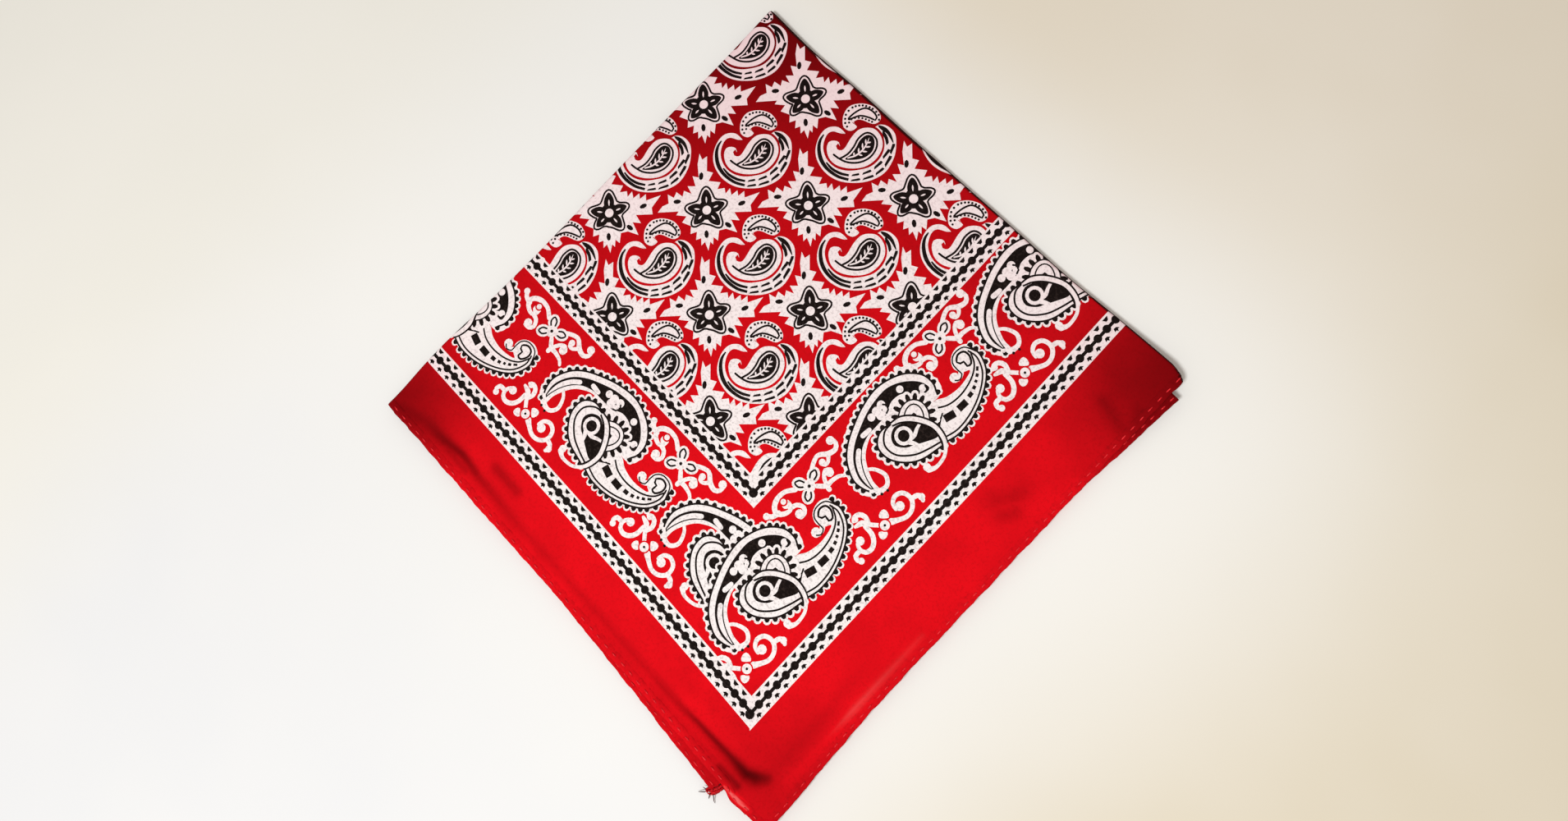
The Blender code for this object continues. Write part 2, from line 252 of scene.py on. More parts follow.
# Painted shade, with rows given in the same way and their strength in place of height; below zero, painted
# sheen.
SHADES = (
    (180, 260.4, 205, 260.0, 0.22, 0.38, 2.2, 1.8),
    (205, 260.0, 215, 259.2, 0.40, 0.66, 1.8, 1.4),
    (215, 259.2, 225, 258.9, 0.66, 0.75, 1.4, 1.5),
    (225, 258.9, 236, 258.4, 0.75, 0.77, 1.5, 1.9),
    (236, 258.4, 246, 258.2, 0.77, 0.95, 1.9, 2.9),
    (246, 258.2, 250, 256.2, 0.95, 0.90, 2.9, 3.6),
    (250, 256.2, 254, 252.6, 0.90, 0.68, 3.6, 2.8),
    (200, 264.6, 235, 264.8, 0.12, 0.24, 1.8, 1.4),
    (235, 264.5, 247, 264.3, 0.56, 0.68, 1.4, 1.8),
    (140, 265.4, 200, 264.6, 0.12, 0.14, 2.2, 2.0),
    (2, 266, 20, 260.5, 0.22, 0.38, 3.0, 3.0),
    (20, 260.5, 32, 260.4, 0.40, 0.66, 3.2, 2.8),
    (32, 260.4, 45, 258.4, 0.66, 0.74, 2.8, 2.3),
    (38, 262.2, 52, 262.6, 0.36, 0.38, 2.0, 1.8),
    (45, 258.4, 57, 259.6, 0.72, 0.58, 2.3, 2.2),
    (57, 259.6, 86, 260.6, 0.50, 0.24, 2.2, 2.4),
    (86, 260.6, 180, 260.4, 0.20, 0.22, 2.4, 2.2),
    (62, 250.8, 78, 250.8, 0.46, 0.42, 2.8, 2.8),
    (0, 262, 6, 252, 0.10, 0.08, 5.0, 6.0),
    (244, 94, 250, 84, 0.22, 0.28, 5.0, 5.0),
    (250.5, 97, 254, 91, 0.24, 0.24, 3.6, 3.6),
    (249, 29.5, 262, 33, 0.40, 0.28, 3.2, 3.4),
    (238, 12, 250, 20, 0.12, 0.14, 6.0, 5.0),
    (263, 23, 267, 31, 0.20, 0.20, 3.0, 3.0),
    (30, 6, 180, 6, 0.15, 0.13, 36.0, 36.0),
    (252.5, 190, 253.5, 215, 0.06, 0.16, 3.0, 3.4),
    (253.5, 215, 254.5, 250, 0.16, 0.12, 3.4, 3.4),
    (261.0, 160, 261.2, 205, -0.08, -0.18, 1.8, 2.0),
    (261.2, 205, 261.6, 246, -0.18, -0.10, 2.0, 1.8),
    (265.8, 190, 266.8, 250, 0.10, 0.13, 1.6, 1.6),
    (242.5, 268.9, 250, 268.5, -0.45, -0.80, 1.0, 1.3),
    (250, 268.5, 257, 267.7, -0.80, -0.60, 1.3, 1.3),
)


def curve(before, start, end, after, t):
    """A smooth curve from start to end, which keeps its direction where it meets the pieces beside it."""
    bend = 2 * before - 5 * start + 4 * end - after
    return start + 0.5 * t * (end - before + t * (bend + t * (3 * (start - end) + after - before)))


def along(values, place):
    """A smooth curve through even stations down a side, at any place along it."""
    spans = len(values) - 1
    values = np.concatenate(([values[0]], values, [values[-1]]))
    share = np.clip(np.asarray(place, float) / SIDE, 0.0, 1.0) * spans
    step = np.minimum(share.astype(int), spans - 1)
    return curve(*(values[step + k] for k in range(4)), share - step)


def fold_line(side, place):
    """Where the cloth starts to turn down at a folded side. The right-hand fold is nipped in beside its hem."""
    nip = 0.0
    if side == "right":
        nip = 2.95 * np.clip((np.asarray(place, float) - 259.0) / 9.0, 0.0, 1.0) ** 2
    return along(FOLD_LINES[side], place) + nip


def hem_line(layer, side, place):
    """A loose side of a layer. The front's left one bulges a little just past the frayed thread."""
    bulge = 0.0
    if (layer, side) == ("front", "left"):
        bulge = 1.8 * np.exp(-(((np.asarray(place, float) - 250.0) / 5.0) ** 2))
    return along(HEM_LINES[layer, side], place) + bulge


def waver(places, size, seed):
    """Slow unevenness along a side, from about -1 to 1."""
    turns = places / size
    waves = np.sin(turns + seed * 2.1) + 0.6 * np.sin(turns * 2.3 + seed)
    return (waves + 0.4 * np.sin(turns * 4.1 + seed * 5.3)) / 2


def swells(right, left, rows):
    """How much each ridge, trough or patch comes to at each place, one after another."""
    for x0, y0, x1, y1, first, last, spread0, spread1 in rows:
        run = np.array([x1 - x0, y1 - y0], float)
        share = np.clip(((right - x0) * run[0] + (left - y0) * run[1]) / run.dot(run), 0.0, 1.0)
        distance = np.hypot(right - x0 - share * run[0], left - y0 - share * run[1])
        spread = spread0 + (spread1 - spread0) * share
        yield (first + (last - first) * share) * np.exp(-((distance / spread) ** 2))


def relief(right, left):
    """How far the cloth is lifted at each place. Ridges add up, only the deepest trough counts, and the sewing
    draws it up a little beside each hem."""
    heights = np.array(list(swells(right, left, CREASES)))
    total = np.maximum(heights, 0.0).sum(axis=0) + np.minimum(heights, 0.0).min(axis=0)
    for side, place, across in (("left", right, left), ("right", left, right)):
        inside = hem_line("front", side, place) - across
        drawn = 0.14 * np.cos(place * 2 * math.pi / STITCH_PITCH) + 0.2 * waver(place, 3.7, len(side))
        total = total + drawn * np.exp(-((inside / 7.0) ** 2))
    return total


def relief_below(right, left):
    """How far the layers under the front are lifted: never more than it is anywhere close by."""
    steps = (-2.2, 0.0, 2.2)
    return np.min([relief(right + across, left + down) for across in steps for down in steps], axis=0)


def painted_shade_and_sheen(right, left):
    """How much painted shade each place gets, from 0 to 1: most at the top, at both side corners, in the
    creases and on the turned-down folds. Below 0 it is painted sheen, above 1 a painted shade line along the
    right-hand fold."""
    down = (right + left) / math.sqrt(2)
    # Painted shade: darker towards the top of the quarter and at its side corners.
    light = 1 - np.interp(down, (0, 30, 60, 100, 140, 190, 240), (0.95, 0.81, 0.61, 0.38, 0.25, 0.14, 0.0))
    for spot_right, spot_left, reach, strength in (
        (268, 0, 66, 0.74), (3, 268, 50, 0.62), (262, 264, 60, 0.28),
    ):
        distance = np.hypot(right - spot_right, left - spot_left)
        light = light * (1 - strength * np.clip(1 - (distance / reach) ** 2, 0.0, 1.0) ** 1.4)
    # Painted shade on the cloth turned down at each fold.
    for side, across, place in (("left", right, left), ("right", left, right)):
        light = light * (1 - 0.45 * np.clip((fold_line(side, place) - across - 1.2) / 2.0, 0.0, 1.0))
    # Painted shade in the creases and, below zero, painted sheen, from the rows of SHADES.
    shares = np.array(list(swells(right, left, SHADES)))
    shaded = 1 - light * (1 - np.maximum(shares, 0.0).max(axis=0)) + np.minimum(shares, 0.0).min(axis=0)
    # Painted shade: a dark line along the edge of the right-hand fold.
    past = fold_line("right", right) - left
    fold_shade_line = np.clip((past - 0.9) / 1.2, 0.0, 1.0) - np.clip((past - 2.7) / 1.2, 0.0, 1.0)
    return shaded + 2.2 * fold_shade_line


def placed(right, left, height):
    """Points of the model, in metres, from places on the cloth."""
    cosine, sine = math.cos(-math.pi / 4 - SKEW), math.sin(-math.pi / 4 - SKEW)
    x = CENTRE[0] + cosine * (right - left)
    y = CENTRE[1] + sine * (right + left)
    return np.column_stack([x, y, height]) * MM


LEFT_TURN = 5.9  # the cloth's length round one of the two folds stacked on the left side
RIGHT_TURN = 5.4  # how far the front goes round the double fold on the right side, past halfway


def front_surface(right, left, depth):
    """The upper quarter, turned down at its two folds; depth is how far inside the cloth's outer face."""
    right, left, depth = (np.asarray(value, float) for value in (right, left, depth))
    past_left = np.clip(fold_line("left", left) - right, 0.0, LEFT_TURN)
    past_right = np.clip(fold_line("right", right) - left, 0.0, RIGHT_TURN)
    angle_left = past_left / LEFT_TURN * math.pi
    angle_right = past_right / MIDDLE
    bulge = MIDDLE - depth
    right_flat, left_flat = right + past_left, left + past_right
    top = TOP + relief(right_flat, left_flat) - depth
    low = MIDDLE + np.where(past_left > 0, depth, 0.0)
    over = (top - low) * (1 + np.cos(angle_left)) / 2
    turned_down = np.cos(angle_right)
    height = low + np.where(turned_down > 0, over, np.minimum(over, MIDDLE - depth)) * turned_down
    return placed(right_flat - bulge * np.sin(angle_left), left_flat - bulge * np.sin(angle_right), height)


# ---- The print --------------------------------------------------------------------------------------------
# White and black ink screened on red cotton: paisleys and star flowers inside two beaded borders, with scrolls
# between them. It is drawn in millimetres, x to the right and y up, and later marks lie over earlier ones.


def smooth_line(points, step=1.2, closed=False):
    """Points along a smooth curve through a few. A third number, such as a width, changes along with them."""
    points = np.array(points, float)
    if closed:
        points = np.vstack([points[-1:], points, points[:2]])
    else:
        points = np.vstack([2 * points[0] - points[1], points, 2 * points[-1] - points[-2]])
    runs = []
    for before, start, end, after in zip(points, points[1:], points[2:], points[3:]):
        count = max(1, round(math.dist(start[:2], end[:2]) / step))
        runs.append(curve(before, start, end, after, np.arange(count)[:, None] / count))
    if not closed:
        runs.append(points[-2:-1])
    return np.vstack(runs)


def headings(line):
    """The unit direction at each point of a line."""
    steps = np.gradient(line[:, :2], axis=0)
    return steps / np.linalg.norm(steps, axis=1)[:, None]


SPREAD = {"black": 0.14, "white": -0.15, "red": 0.0}  # the black creeps a little over the white


def area_of(outline):
    """Twice the area inside a closed outline, below zero where it runs clockwise."""
    following = np.roll(outline, -1, axis=0)
    return (outline[:, 0] * following[:, 1] - outline[:, 1] * following[:, 0]).sum()


def grown(colour, outline):
    """A closed outline with its ink's spread added all round."""
    sides = [outline - np.roll(outline, 1, axis=0), np.roll(outline, -1, axis=0) - outline]
    before, after = (
        np.column_stack([side[:, 1], -side[:, 0]]) / np.maximum(np.linalg.norm(side, axis=1), 1e-6)[:, None]
        for side in sides
    )
    outwards = (before + after) / np.maximum(1 + (before * after).sum(axis=1), 0.6)[:, None]
    return outline + outwards * SPREAD[colour] * math.copysign(1.0, area_of(outline))


def heading_of(degrees):
    """The x and y of one unit along a bearing, which runs anticlockwise from x."""
    return math.cos(math.radians(degrees)), math.sin(math.radians(degrees))


def dot(colour, x, y, radius, long=None, turn=0.0, sides=10):
    """A round or oval spot. turn is the bearing of its long radius, in degrees."""
    angle = np.arange(sides) * 2 * math.pi / sides
    spread = SPREAD[colour]
    oval = np.column_stack([((long or radius) + spread) * np.cos(angle), (radius + spread) * np.sin(angle)])
    return [(colour, turned(oval, turn) + (x, y))]


def turned(points, degrees):
    """Points turned anticlockwise about the origin."""
    cosine, sine = heading_of(degrees)
    return points @ np.array([[cosine, sine], [-sine, cosine]])


def shape(colour, points):
    """A filled shape with a smooth outline."""
    return [(colour, grown(colour, smooth_line(points, closed=True)))]


def jagged(colour, points):
    """A filled shape with straight sides."""
    return [(colour, grown(colour, np.array(points, float)))]


def stroke(colour, points, width=None, step=1.2, closed=False, tips=True):
    """A stroke of even width, or with a width as the third number of each point."""
    line = smooth_line(points, step, closed)
    if closed:
        line = np.vstack([line, line[:1]])
    half = (line[:, 2:3] if line.shape[1] == 3 else np.full((len(line), 1), width)) / 2
    half = np.maximum(half + SPREAD[colour], 0.1)
    ahead = headings(line)
    if closed:
        ahead[0] = ahead[-1] = (ahead[0] + ahead[-1]) / 2
    across = np.column_stack([-ahead[:, 1], ahead[:, 0]]) * half
    one, other = line[:, :2] - across, line[:, :2] + across
    marks = [(colour, np.array([one[k], one[k + 1], other[k + 1], other[k]])) for k in range(len(line) - 1)]
    if tips and not closed:
        for end in (0, -1):
            reach = half[end, 0]
            if reach > 0.35:
                sides = 8 if reach < 1 else 10
                marks += dot(colour, *line[end, :2], reach * 0.99 - SPREAD[colour], sides=sides)
    return marks


def beads(colour, points, pitch, radius, offset=0.0, sides=8):
    """Round spots at even spaces beside a curve, on its right-hand side as it is drawn."""
    line = smooth_line(points, pitch)
    marks = []
    for spot, (along_x, along_y) in zip(line, headings(line)):
        marks += dot(colour, spot[0] + along_y * offset, spot[1] - along_x * offset, radius, sides=sides)
    return marks


def teeth(points, pitch, length, width):
    """Small rounded black pegs at even spaces on the right-hand side of a curve as it is drawn."""
    peg = ((-0.5, -0.15), (-0.5, 0.45), (-0.22, 0.95), (0.22, 0.95), (0.5, 0.45), (0.5, -0.15))
    line = smooth_line(points, pitch)
    marks = []
    for spot, ahead in zip(line[:, :2], headings(line)):
        out = np.array([ahead[1], -ahead[0]])
        marks += jagged("black", [spot + ahead * width * wide + out * length * far for wide, far in peg])
    return marks


LEAF_WIDTH = 1.15


def leaf(x0, y0, x1, y1):
    """A narrow pointed oval in white, from one place to another."""
    start, end = np.array([x0, y0], float), np.array([x1, y1], float)
    run = end - start
    side = np.array([-run[1], run[0]]) / np.linalg.norm(run) * LEAF_WIDTH / 2
    along_leaf = ((0, 0), (0.2, 0.7), (0.45, 1), (0.75, 0.75), (1, 0), (0.75, -0.75), (0.45, -1), (0.2, -0.7))
    return jagged("white", [start + run * share + side * out for share, out in along_leaf])


def dashes(points):
    """Short tapering black strokes, one at each point, along the curve through all of them. A point gives its
    place, and its stroke's length and width."""
    spots = np.array(points, float)
    marks = []
    for (x, y, length, width), (across_x, across_y) in zip(spots, headings(spots)):
        bearing = math.degrees(math.atan2(across_y, across_x))
        dash = np.array([(-1, -0.5), (0.6, -1), (1, -0.7), (0.9, 0.8), (-0.7, 0.7)]) * (length / 2, width / 2)
        marks += jagged("black", turned(dash, bearing) + (x, y))
    return marks


def star_flower():
    """A five-petalled black star on a white cross of jagged leaves."""
    marks = jagged("white", (
        (-4, 28.5), (-2.5, 25.5), (0, 27), (0, 19.5), (3.2, 18.5), (1, 14.5), (7, 13.5), (5.4, 10.2),
        (9, 10.6), (9.4, 7.8), (11.6, 10.4), (12.4, 7), (15.4, 9.2), (15.8, 6.4), (18.8, 8.6), (19, 5.4),
        (26.5, 7.5), (22, 1.4), (22.5, -2), (14, -1.8), (16.6, -6), (12.4, -5.4), (15.4, -11.8), (9.8, -9.8),
        (6.4, -10.4), (5.8, -15.4), (3.6, -13.6), (3.4, -17.2), (2, -15.8), (1, -20), (-0.8, -15.8),
        (-2.6, -17.4), (-2.8, -13.8), (-5.4, -14.6), (-5, -10.6), (-8.2, -11.5), (-8, -7.5), (-12.6, -5.5),
        (-10.4, -2.6), (-15.6, -1.8), (-14.4, 0), (-25, 0), (-22.6, 3.2), (-19.5, 4.4), (-20, 9),
        (-16.8, 7.2), (-15.5, 10), (-12.4, 7.6), (-11.7, 10.4), (-7.9, 8.6), (-10, 12.5), (-6, 12.3),
        (-7.5, 17.4), (-4.4, 16.6), (-5, 23),
    ))
    petals = ((93, 10.2), (19, 9.3), (-49, 9.9), (-134, 9.0), (171, 9.7))
    rim = []
    for (bearing, reach), (after, _) in zip(petals, petals[1:] + petals[:1]):
        between = bearing + ((after - bearing) % -360) / 2
        for angle, radius in (
            (bearing + 25, reach - 2.1), (bearing + 10, reach + 0.5), (bearing, reach + 1.5),
            (bearing - 10, reach + 0.5), (bearing - 25, reach - 2.1), (between, 6.9),
        ):
            x, y = heading_of(angle)
            rim.append((radius * x, radius * y))
    marks += stroke("black", rim, 0.68, closed=True)
    marks += dot("black", 0, 0, 4.7, sides=14)
    for bearing, reach in petals:
        petal = np.array([
            (0, -1.8), (3, -2.3), (reach * 0.6, -2.5), (reach - 1.3, -1.4), (reach, 0),
            (reach - 1.3, 1.4), (reach * 0.6, 2.5), (3, 2.3), (0, 1.8),
        ])
        marks += shape("black", turned(petal, bearing))
        (x0, y0), (x1, y1) = turned(np.array([(3.3, 0), (reach * 0.69, 0)]), bearing)
        marks += leaf(x1, y1, x0, y0)
    marks += dot("white", 0, 0, 2.35, sides=14)
    for x, y, turn in ((-3, 17, 85), (-15, 5, 0), (17.5, 2.5, 20), (0, -11.8, 95), (10.8, -7.8, -35)):
        marks += dot("black", x, y, 1.0, 1.85, turn, sides=8)
    return marks


def paisley():
    """A curled paisley in three bands, with a small one perched above it."""
    marks = shape("white", (
        (7, 10), (10, 11.5), (14, 10.5), (17.5, 6.5), (18, 0.5), (16.5, -6), (12, -12.5), (4.5, -16),
        (-3.5, -16.5), (-10.5, -15), (-16.5, -11), (-20.5, -5), (-21.5, 1), (-19.5, 7.5), (-15.5, 11.5),
        (-10, 11.5), (-6, 7.4), (-9, 9), (-1, 6),
    ))
    marks += shape("red", (
        (6.8, 10.4), (-1, 9.4), (-7.5, 8), (-13, 9.5), (-16, 7.5), (-17.6, 2), (-16.1, -3.7), (-12.1, -8.1),
        (-6.6, -10.2), (-0.4, -10.2), (5.7, -8.7), (10.2, -4.7), (12.2, 0.5), (11.6, 6.1), (9.1, 9.6),
    ))
    marks += shape("white", (
        (-9.4, 1.8), (-9.8, 4), (-12, 5), (-14.8, 4.5), (-16, 1.2), (-14.8, -3.8), (-11, -7.5), (-4.5, -9.4),
        (2.6, -8.9), (8.2, -5.4), (11.3, 0), (10.8, 5.4), (7.6, 9.5), (3, 10.4), (-0.5, 9.4), (-3.5, 6.5),
        (-5.5, 3.5), (-7, 1.2), (-8.6, 0), (-10.6, 0.6), (-11.2, 2.2), (-10.2, 3.2),
    ))
    marks += stroke("black", (
        (-12.5, -2), (-10, -4), (-6, -6.1), (-0.5, -6.6), (4.7, -4.7), (8.1, -0.5), (8.5, 4), (6, 7.1),
        (3, 7.6), (-0.5, 5), (-2.5, 1.5), (-5.5, -2), (-9.5, -4.2),
    ), 0.72)
    marks += shape("black", (
        (-6.8, -4.6), (-2, -5.0), (2.5, -4.2), (6.1, -1.5), (7.4, 2.5), (6.5, 5.7), (3.6, 6.5), (0.5, 4.2),
        (-1.5, 0.7), (-4, -2.5),
    ))
    marks += stroke("white", (
        (-5.8, -4.1, 0.9), (-2, -3.2, 1.1), (1.4, -0.8, 1.1), (3.6, 2.2, 0.9), (4.9, 5.2, 0.5),
    ))
    for x0, y0, x1, y1 in (
        (-2.6, -3.4, -2.6, -1.2), (-0.4, -2.2, -0.2, 0.9), (1.6, -0.4, 1.6, 3.2), (3.2, 1.8, 3.2, 5),
        (-0.6, -2.6, 1.8, -3.4), (1, -1.2, 4.2, -1.6), (2.6, 0.8, 5.8, 0.8), (3.8, 2.6, 6, 3.2),
    ):
        marks += leaf(x0, y0, x1, y1)
    marks += stroke("black", (
        (-17.2, 8.2, 0.4), (-19, 5.5, 1.1), (-19.7, 1.5, 1.5), (-18.7, -4, 1.7), (-15.6, -8.9, 1.4),
        (-10.6, -12.8, 1.2), (-5.4, -14.7, 1.0),
    ), tips=False)
    marks += stroke("black", (
        (-16.2, -5.6, 0.5), (-13.4, -8.9, 1.0), (-9.4, -11.4, 1.1), (-5.2, -12.6, 0.8),
    ), tips=False)
    marks += dashes((
        (-2.1, -15, 4.6, 1.0), (4, -14.2, 5.6, 1.1), (9.6, -11.5, 5.0, 1.25), (13.7, -6.8, 5.9, 1.5),
        (15.9, -0.9, 5.2, 1.4),
    ))
    marks += dashes((
        (-2.1, -12.5, 3.7, 0.95), (3.4, -11.6, 4.6, 1.1), (8.9, -8.4, 5.2, 1.35), (12.9, -3.2, 5.4, 1.4),
    ))
    marks += shape("black", (
        (9.3, 11), (12.6, 9.9), (15.2, 6.9), (16.6, 1.9), (15, 4.6), (13.4, 7), (11, 8.8),
    ))
    marks += shape("black", ((11.6, 8.2), (13.5, 5.6), (14.2, 2.2), (13.3, 1.2), (12.6, 4.2), (11.5, 6.4)))
    marks += shape("white", (
        (-3.5, 13.5), (-0.8, 11), (-4, 9), (-7.5, 11), (-8, 15.5), (-6.5, 19.5), (-3.5, 22), (2, 22.5),
        (7.5, 20.5), (10.5, 16.5), (10.5, 13.4), (8, 11.8), (5.5, 12.2), (2, 13.9), (-0.5, 14.4),
        (-2.4, 13.4), (-1.8, 12.4),
    ))
    marks += stroke("black", (
        (-5.2, 14.8), (-2, 18), (3, 20), (7, 18), (8.8, 15), (8, 13.7), (5.5, 15), (0.5, 16.4),
    ), 0.66, closed=True)
    marks += beads("black", (
        (-6.7, 13.2), (-6.3, 17.3), (-3, 20.7), (2, 21.4), (6.8, 19.4), (9.7, 16.2), (9.8, 13.8),
    ), 1.9, 0.5, sides=6)
    marks += beads("black", (
        (-5.8, 11.4), (-3.6, 14.9), (0, 15.4), (3.4, 14.5), (6.4, 13),
    ), 1.9, 0.46, sides=6)
    return marks


def comet():
    """The tall back paisley of a border group: a long hook with a toothed rim and a dark hollow."""
    marks = shape("white", (
        (-9.5, -25.5), (-16, -27.3), (-21.6, -25), (-26, -19.5), (-28.6, -12.5), (-28.6, -5.5), (-27, 2),
        (-23.6, 9.5), (-20.2, 15), (-15.2, 21), (-9, 26.1), (-3, 29.1), (4, 30.1), (10.4, 28.6), (15.2, 25.8),
        (18, 21.5), (17, 17.5), (12, 14), (0, 13), (-8, 5), (-14.5, 0.5), (-17, -5), (-17.5, -11), (-15, -19),
        (-12, -22.8),
    ))
    rim = (
        (-14, -25.3), (-18.8, -23.8), (-23.6, -19.8), (-26.4, -12), (-26.2, -4.5), (-23.6, 3.6), (-19, 13.2),
        (-11.8, 22.2), (-1, 27.6), (8.4, 27.5), (13.8, 23.6), (15.6, 19),
    )
    marks += beads("white", rim, 3.7, 1.9, offset=-1.2, sides=8)
    marks += teeth(rim[::-1], 3.7, 1.8, 2.2)
    marks += stroke("black", rim, 0.62)
    marks += shape("black", (
        (-13.6, -24.8), (-19, -21.2), (-22, -16.6), (-23.4, -10.5), (-22.7, -4), (-20.3, 3), (-15.8, 12),
        (-9.5, 19.7), (-4.6, 22.8), (1.6, 24.3), (8, 23.9), (12.2, 21.2), (9, 18.6), (0, 19), (-5.5, 15.4),
        (-7.7, 10), (-12.5, 4.6), (-16.4, 0.6), (-19.2, -5), (-19.6, -11), (-18.4, -16.5), (-16, -21.4),
    ))
    marks += stroke("white", (
        (-20.9, -6.6, 2.6), (-21.2, -11, 2.6), (-20, -16.3, 2.4), (-17.6, -20.6, 1.5), (-15.2, -23.4, 0.4),
    ))
    marks += stroke("white", ((-15.8, 2.8, 2.4), (-17.4, 1.4, 2.7), (-18.9, 0.2, 2.7)))
    for x, y, radius in (
        (-14.8, 8.4, 2), (-12.2, 11, 2.5), (-10.2, 14, 2.2), (-10.4, 9.2, 2.3), (-7.8, 11.4, 2),
        (-1.4, 20.9, 1.9), (9.2, 21.2, 1.9),
    ):
        marks += dot("white", x, y, radius, sides=12)
    marks += stroke("white", ((9.2, 21, 2), (8.6, 18.6, 2)))
    marks += stroke("black", ((-9.4, 14.2), (-7.9, 14), (-6.9, 11.8), (-7.7, 10.2)), 0.6)
    marks += stroke("black", ((10.4, 22.3), (11.2, 20.8), (10.6, 19.4)), 0.6)
    marks += stroke("white", (
        (-17.6, -15, 1.7), (-13.5, -15, 2), (-8.7, -17.6, 2.3), (-8, -22, 2.4), (-11.2, -24.6, 2.8),
        (-15.5, -24.8, 2),
    ))
    marks += beads("black", ((-14, -26), (-10.5, -26), (-7.8, -24.4)), 3.0, 0.6, sides=6)
    return marks


def drop():
    """The front paisley of a border group: an eye wrapped by a ribbon, with a toothed rim."""
    rim = ((-6.8, 5.2), (-11.3, 1), (-12, -5.3), (-7, -10.5), (1, -12.2), (8.5, -10.7), (17.3, -5.2))
    marks = beads("white", rim, 3.7, 2.1, offset=1.1, sides=10)
    marks += shape("white", (
        (-6.5, 6.5), (-11.6, 3), (-13.6, -2.5), (-12.8, -8.4), (-8.4, -12.2), (-2.5, -13.6), (4, -13.2),
        (11, -11), (17, -7), (18.5, -2), (15, 3.5), (8, 6.5), (0, 7.6),
    ))
    marks += teeth(rim, 3.7, 1.8, 2.2)
    marks += stroke("black", rim, 0.62)
    marks += stroke("black", (
        (-5.5, 5.6), (-8.8, 1.6), (-8.7, -4.6), (-3.6, -8.7), (4.5, -8.8), (11, -6.4), (17, -3.2),
    ), 0.62)
    marks += shape("black", (
        (-5.7, -0.6), (-4.2, 3.6), (-0.5, 5.3), (4.5, 5.7), (11, 3.8), (15.6, -0.6), (9, -3.2), (4.8, -4.2),
        (1, -5.4), (-4, -4.4),
    ))
    marks += dot("white", 0, -0.2, 4.5, sides=16)
    marks += stroke("white", ((2.6, -1.9, 2.4), (5, 0, 2.2), (6, 2.6, 1.9), (7.8, 5.6, 1.5)))
    marks += stroke("white", ((2.4, -3.1, 2.4), (4.4, -3.6, 2.2), (6.6, -4.4, 1.6)))
    marks += dot("black", 0, -0.2, 2.6, sides=14)
    ribbon = (
        (-5.6, 5.0, 1.0), (-1, 7.2, 2.2), (5.5, 7.2, 2.4), (13, 4.6, 2.3), (17, 0.5, 2.2), (19, -4.2, 2),
        (18.4, -9.6, 1.9), (14.6, -14.4, 2.1), (11.2, -15.4, 3.2),
    )
    marks += stroke("black", [(x, y, width + 1.2) for x, y, width in ribbon[:6]], tips=False)
    marks += stroke("white", ribbon)
    marks += dot("white", 10.4, -14.4, 2)
    return marks


def dome():
    """A half rosette between the two paisleys of a border group."""
    marks = []
    rays = [heading_of(bearing) for bearing in range(-24, 205, 22)]
    for x, y in rays:
        marks += dot("white", 4.9 + 10.2 * x, 7.3 + 11.2 * y, 2.0, sides=10)
    marks += dot("white", 4.9, 7.3, 9.8, 10.8, 90, sides=26)
    rim = [(4.9 + 8.0 * x, 7.3 + 9.2 * y) for x, y in rays]
    marks += teeth(rim, 3.3, 2.5, 1.9)
    for colour, wide, high in (
        ("black", 7.4, 9.0), ("white", 7.0, 8.6), ("black", 4.8, 6.9), ("white", 4.4, 6.5),
    ):
        marks += dot(colour, 4.9, 7.3, wide, high, 90, sides=24)
    return marks + shape("black", ((3.3, 7), (3.9, 9.3), (4.9, 10.0), (5.9, 9.3), (6.5, 7)))


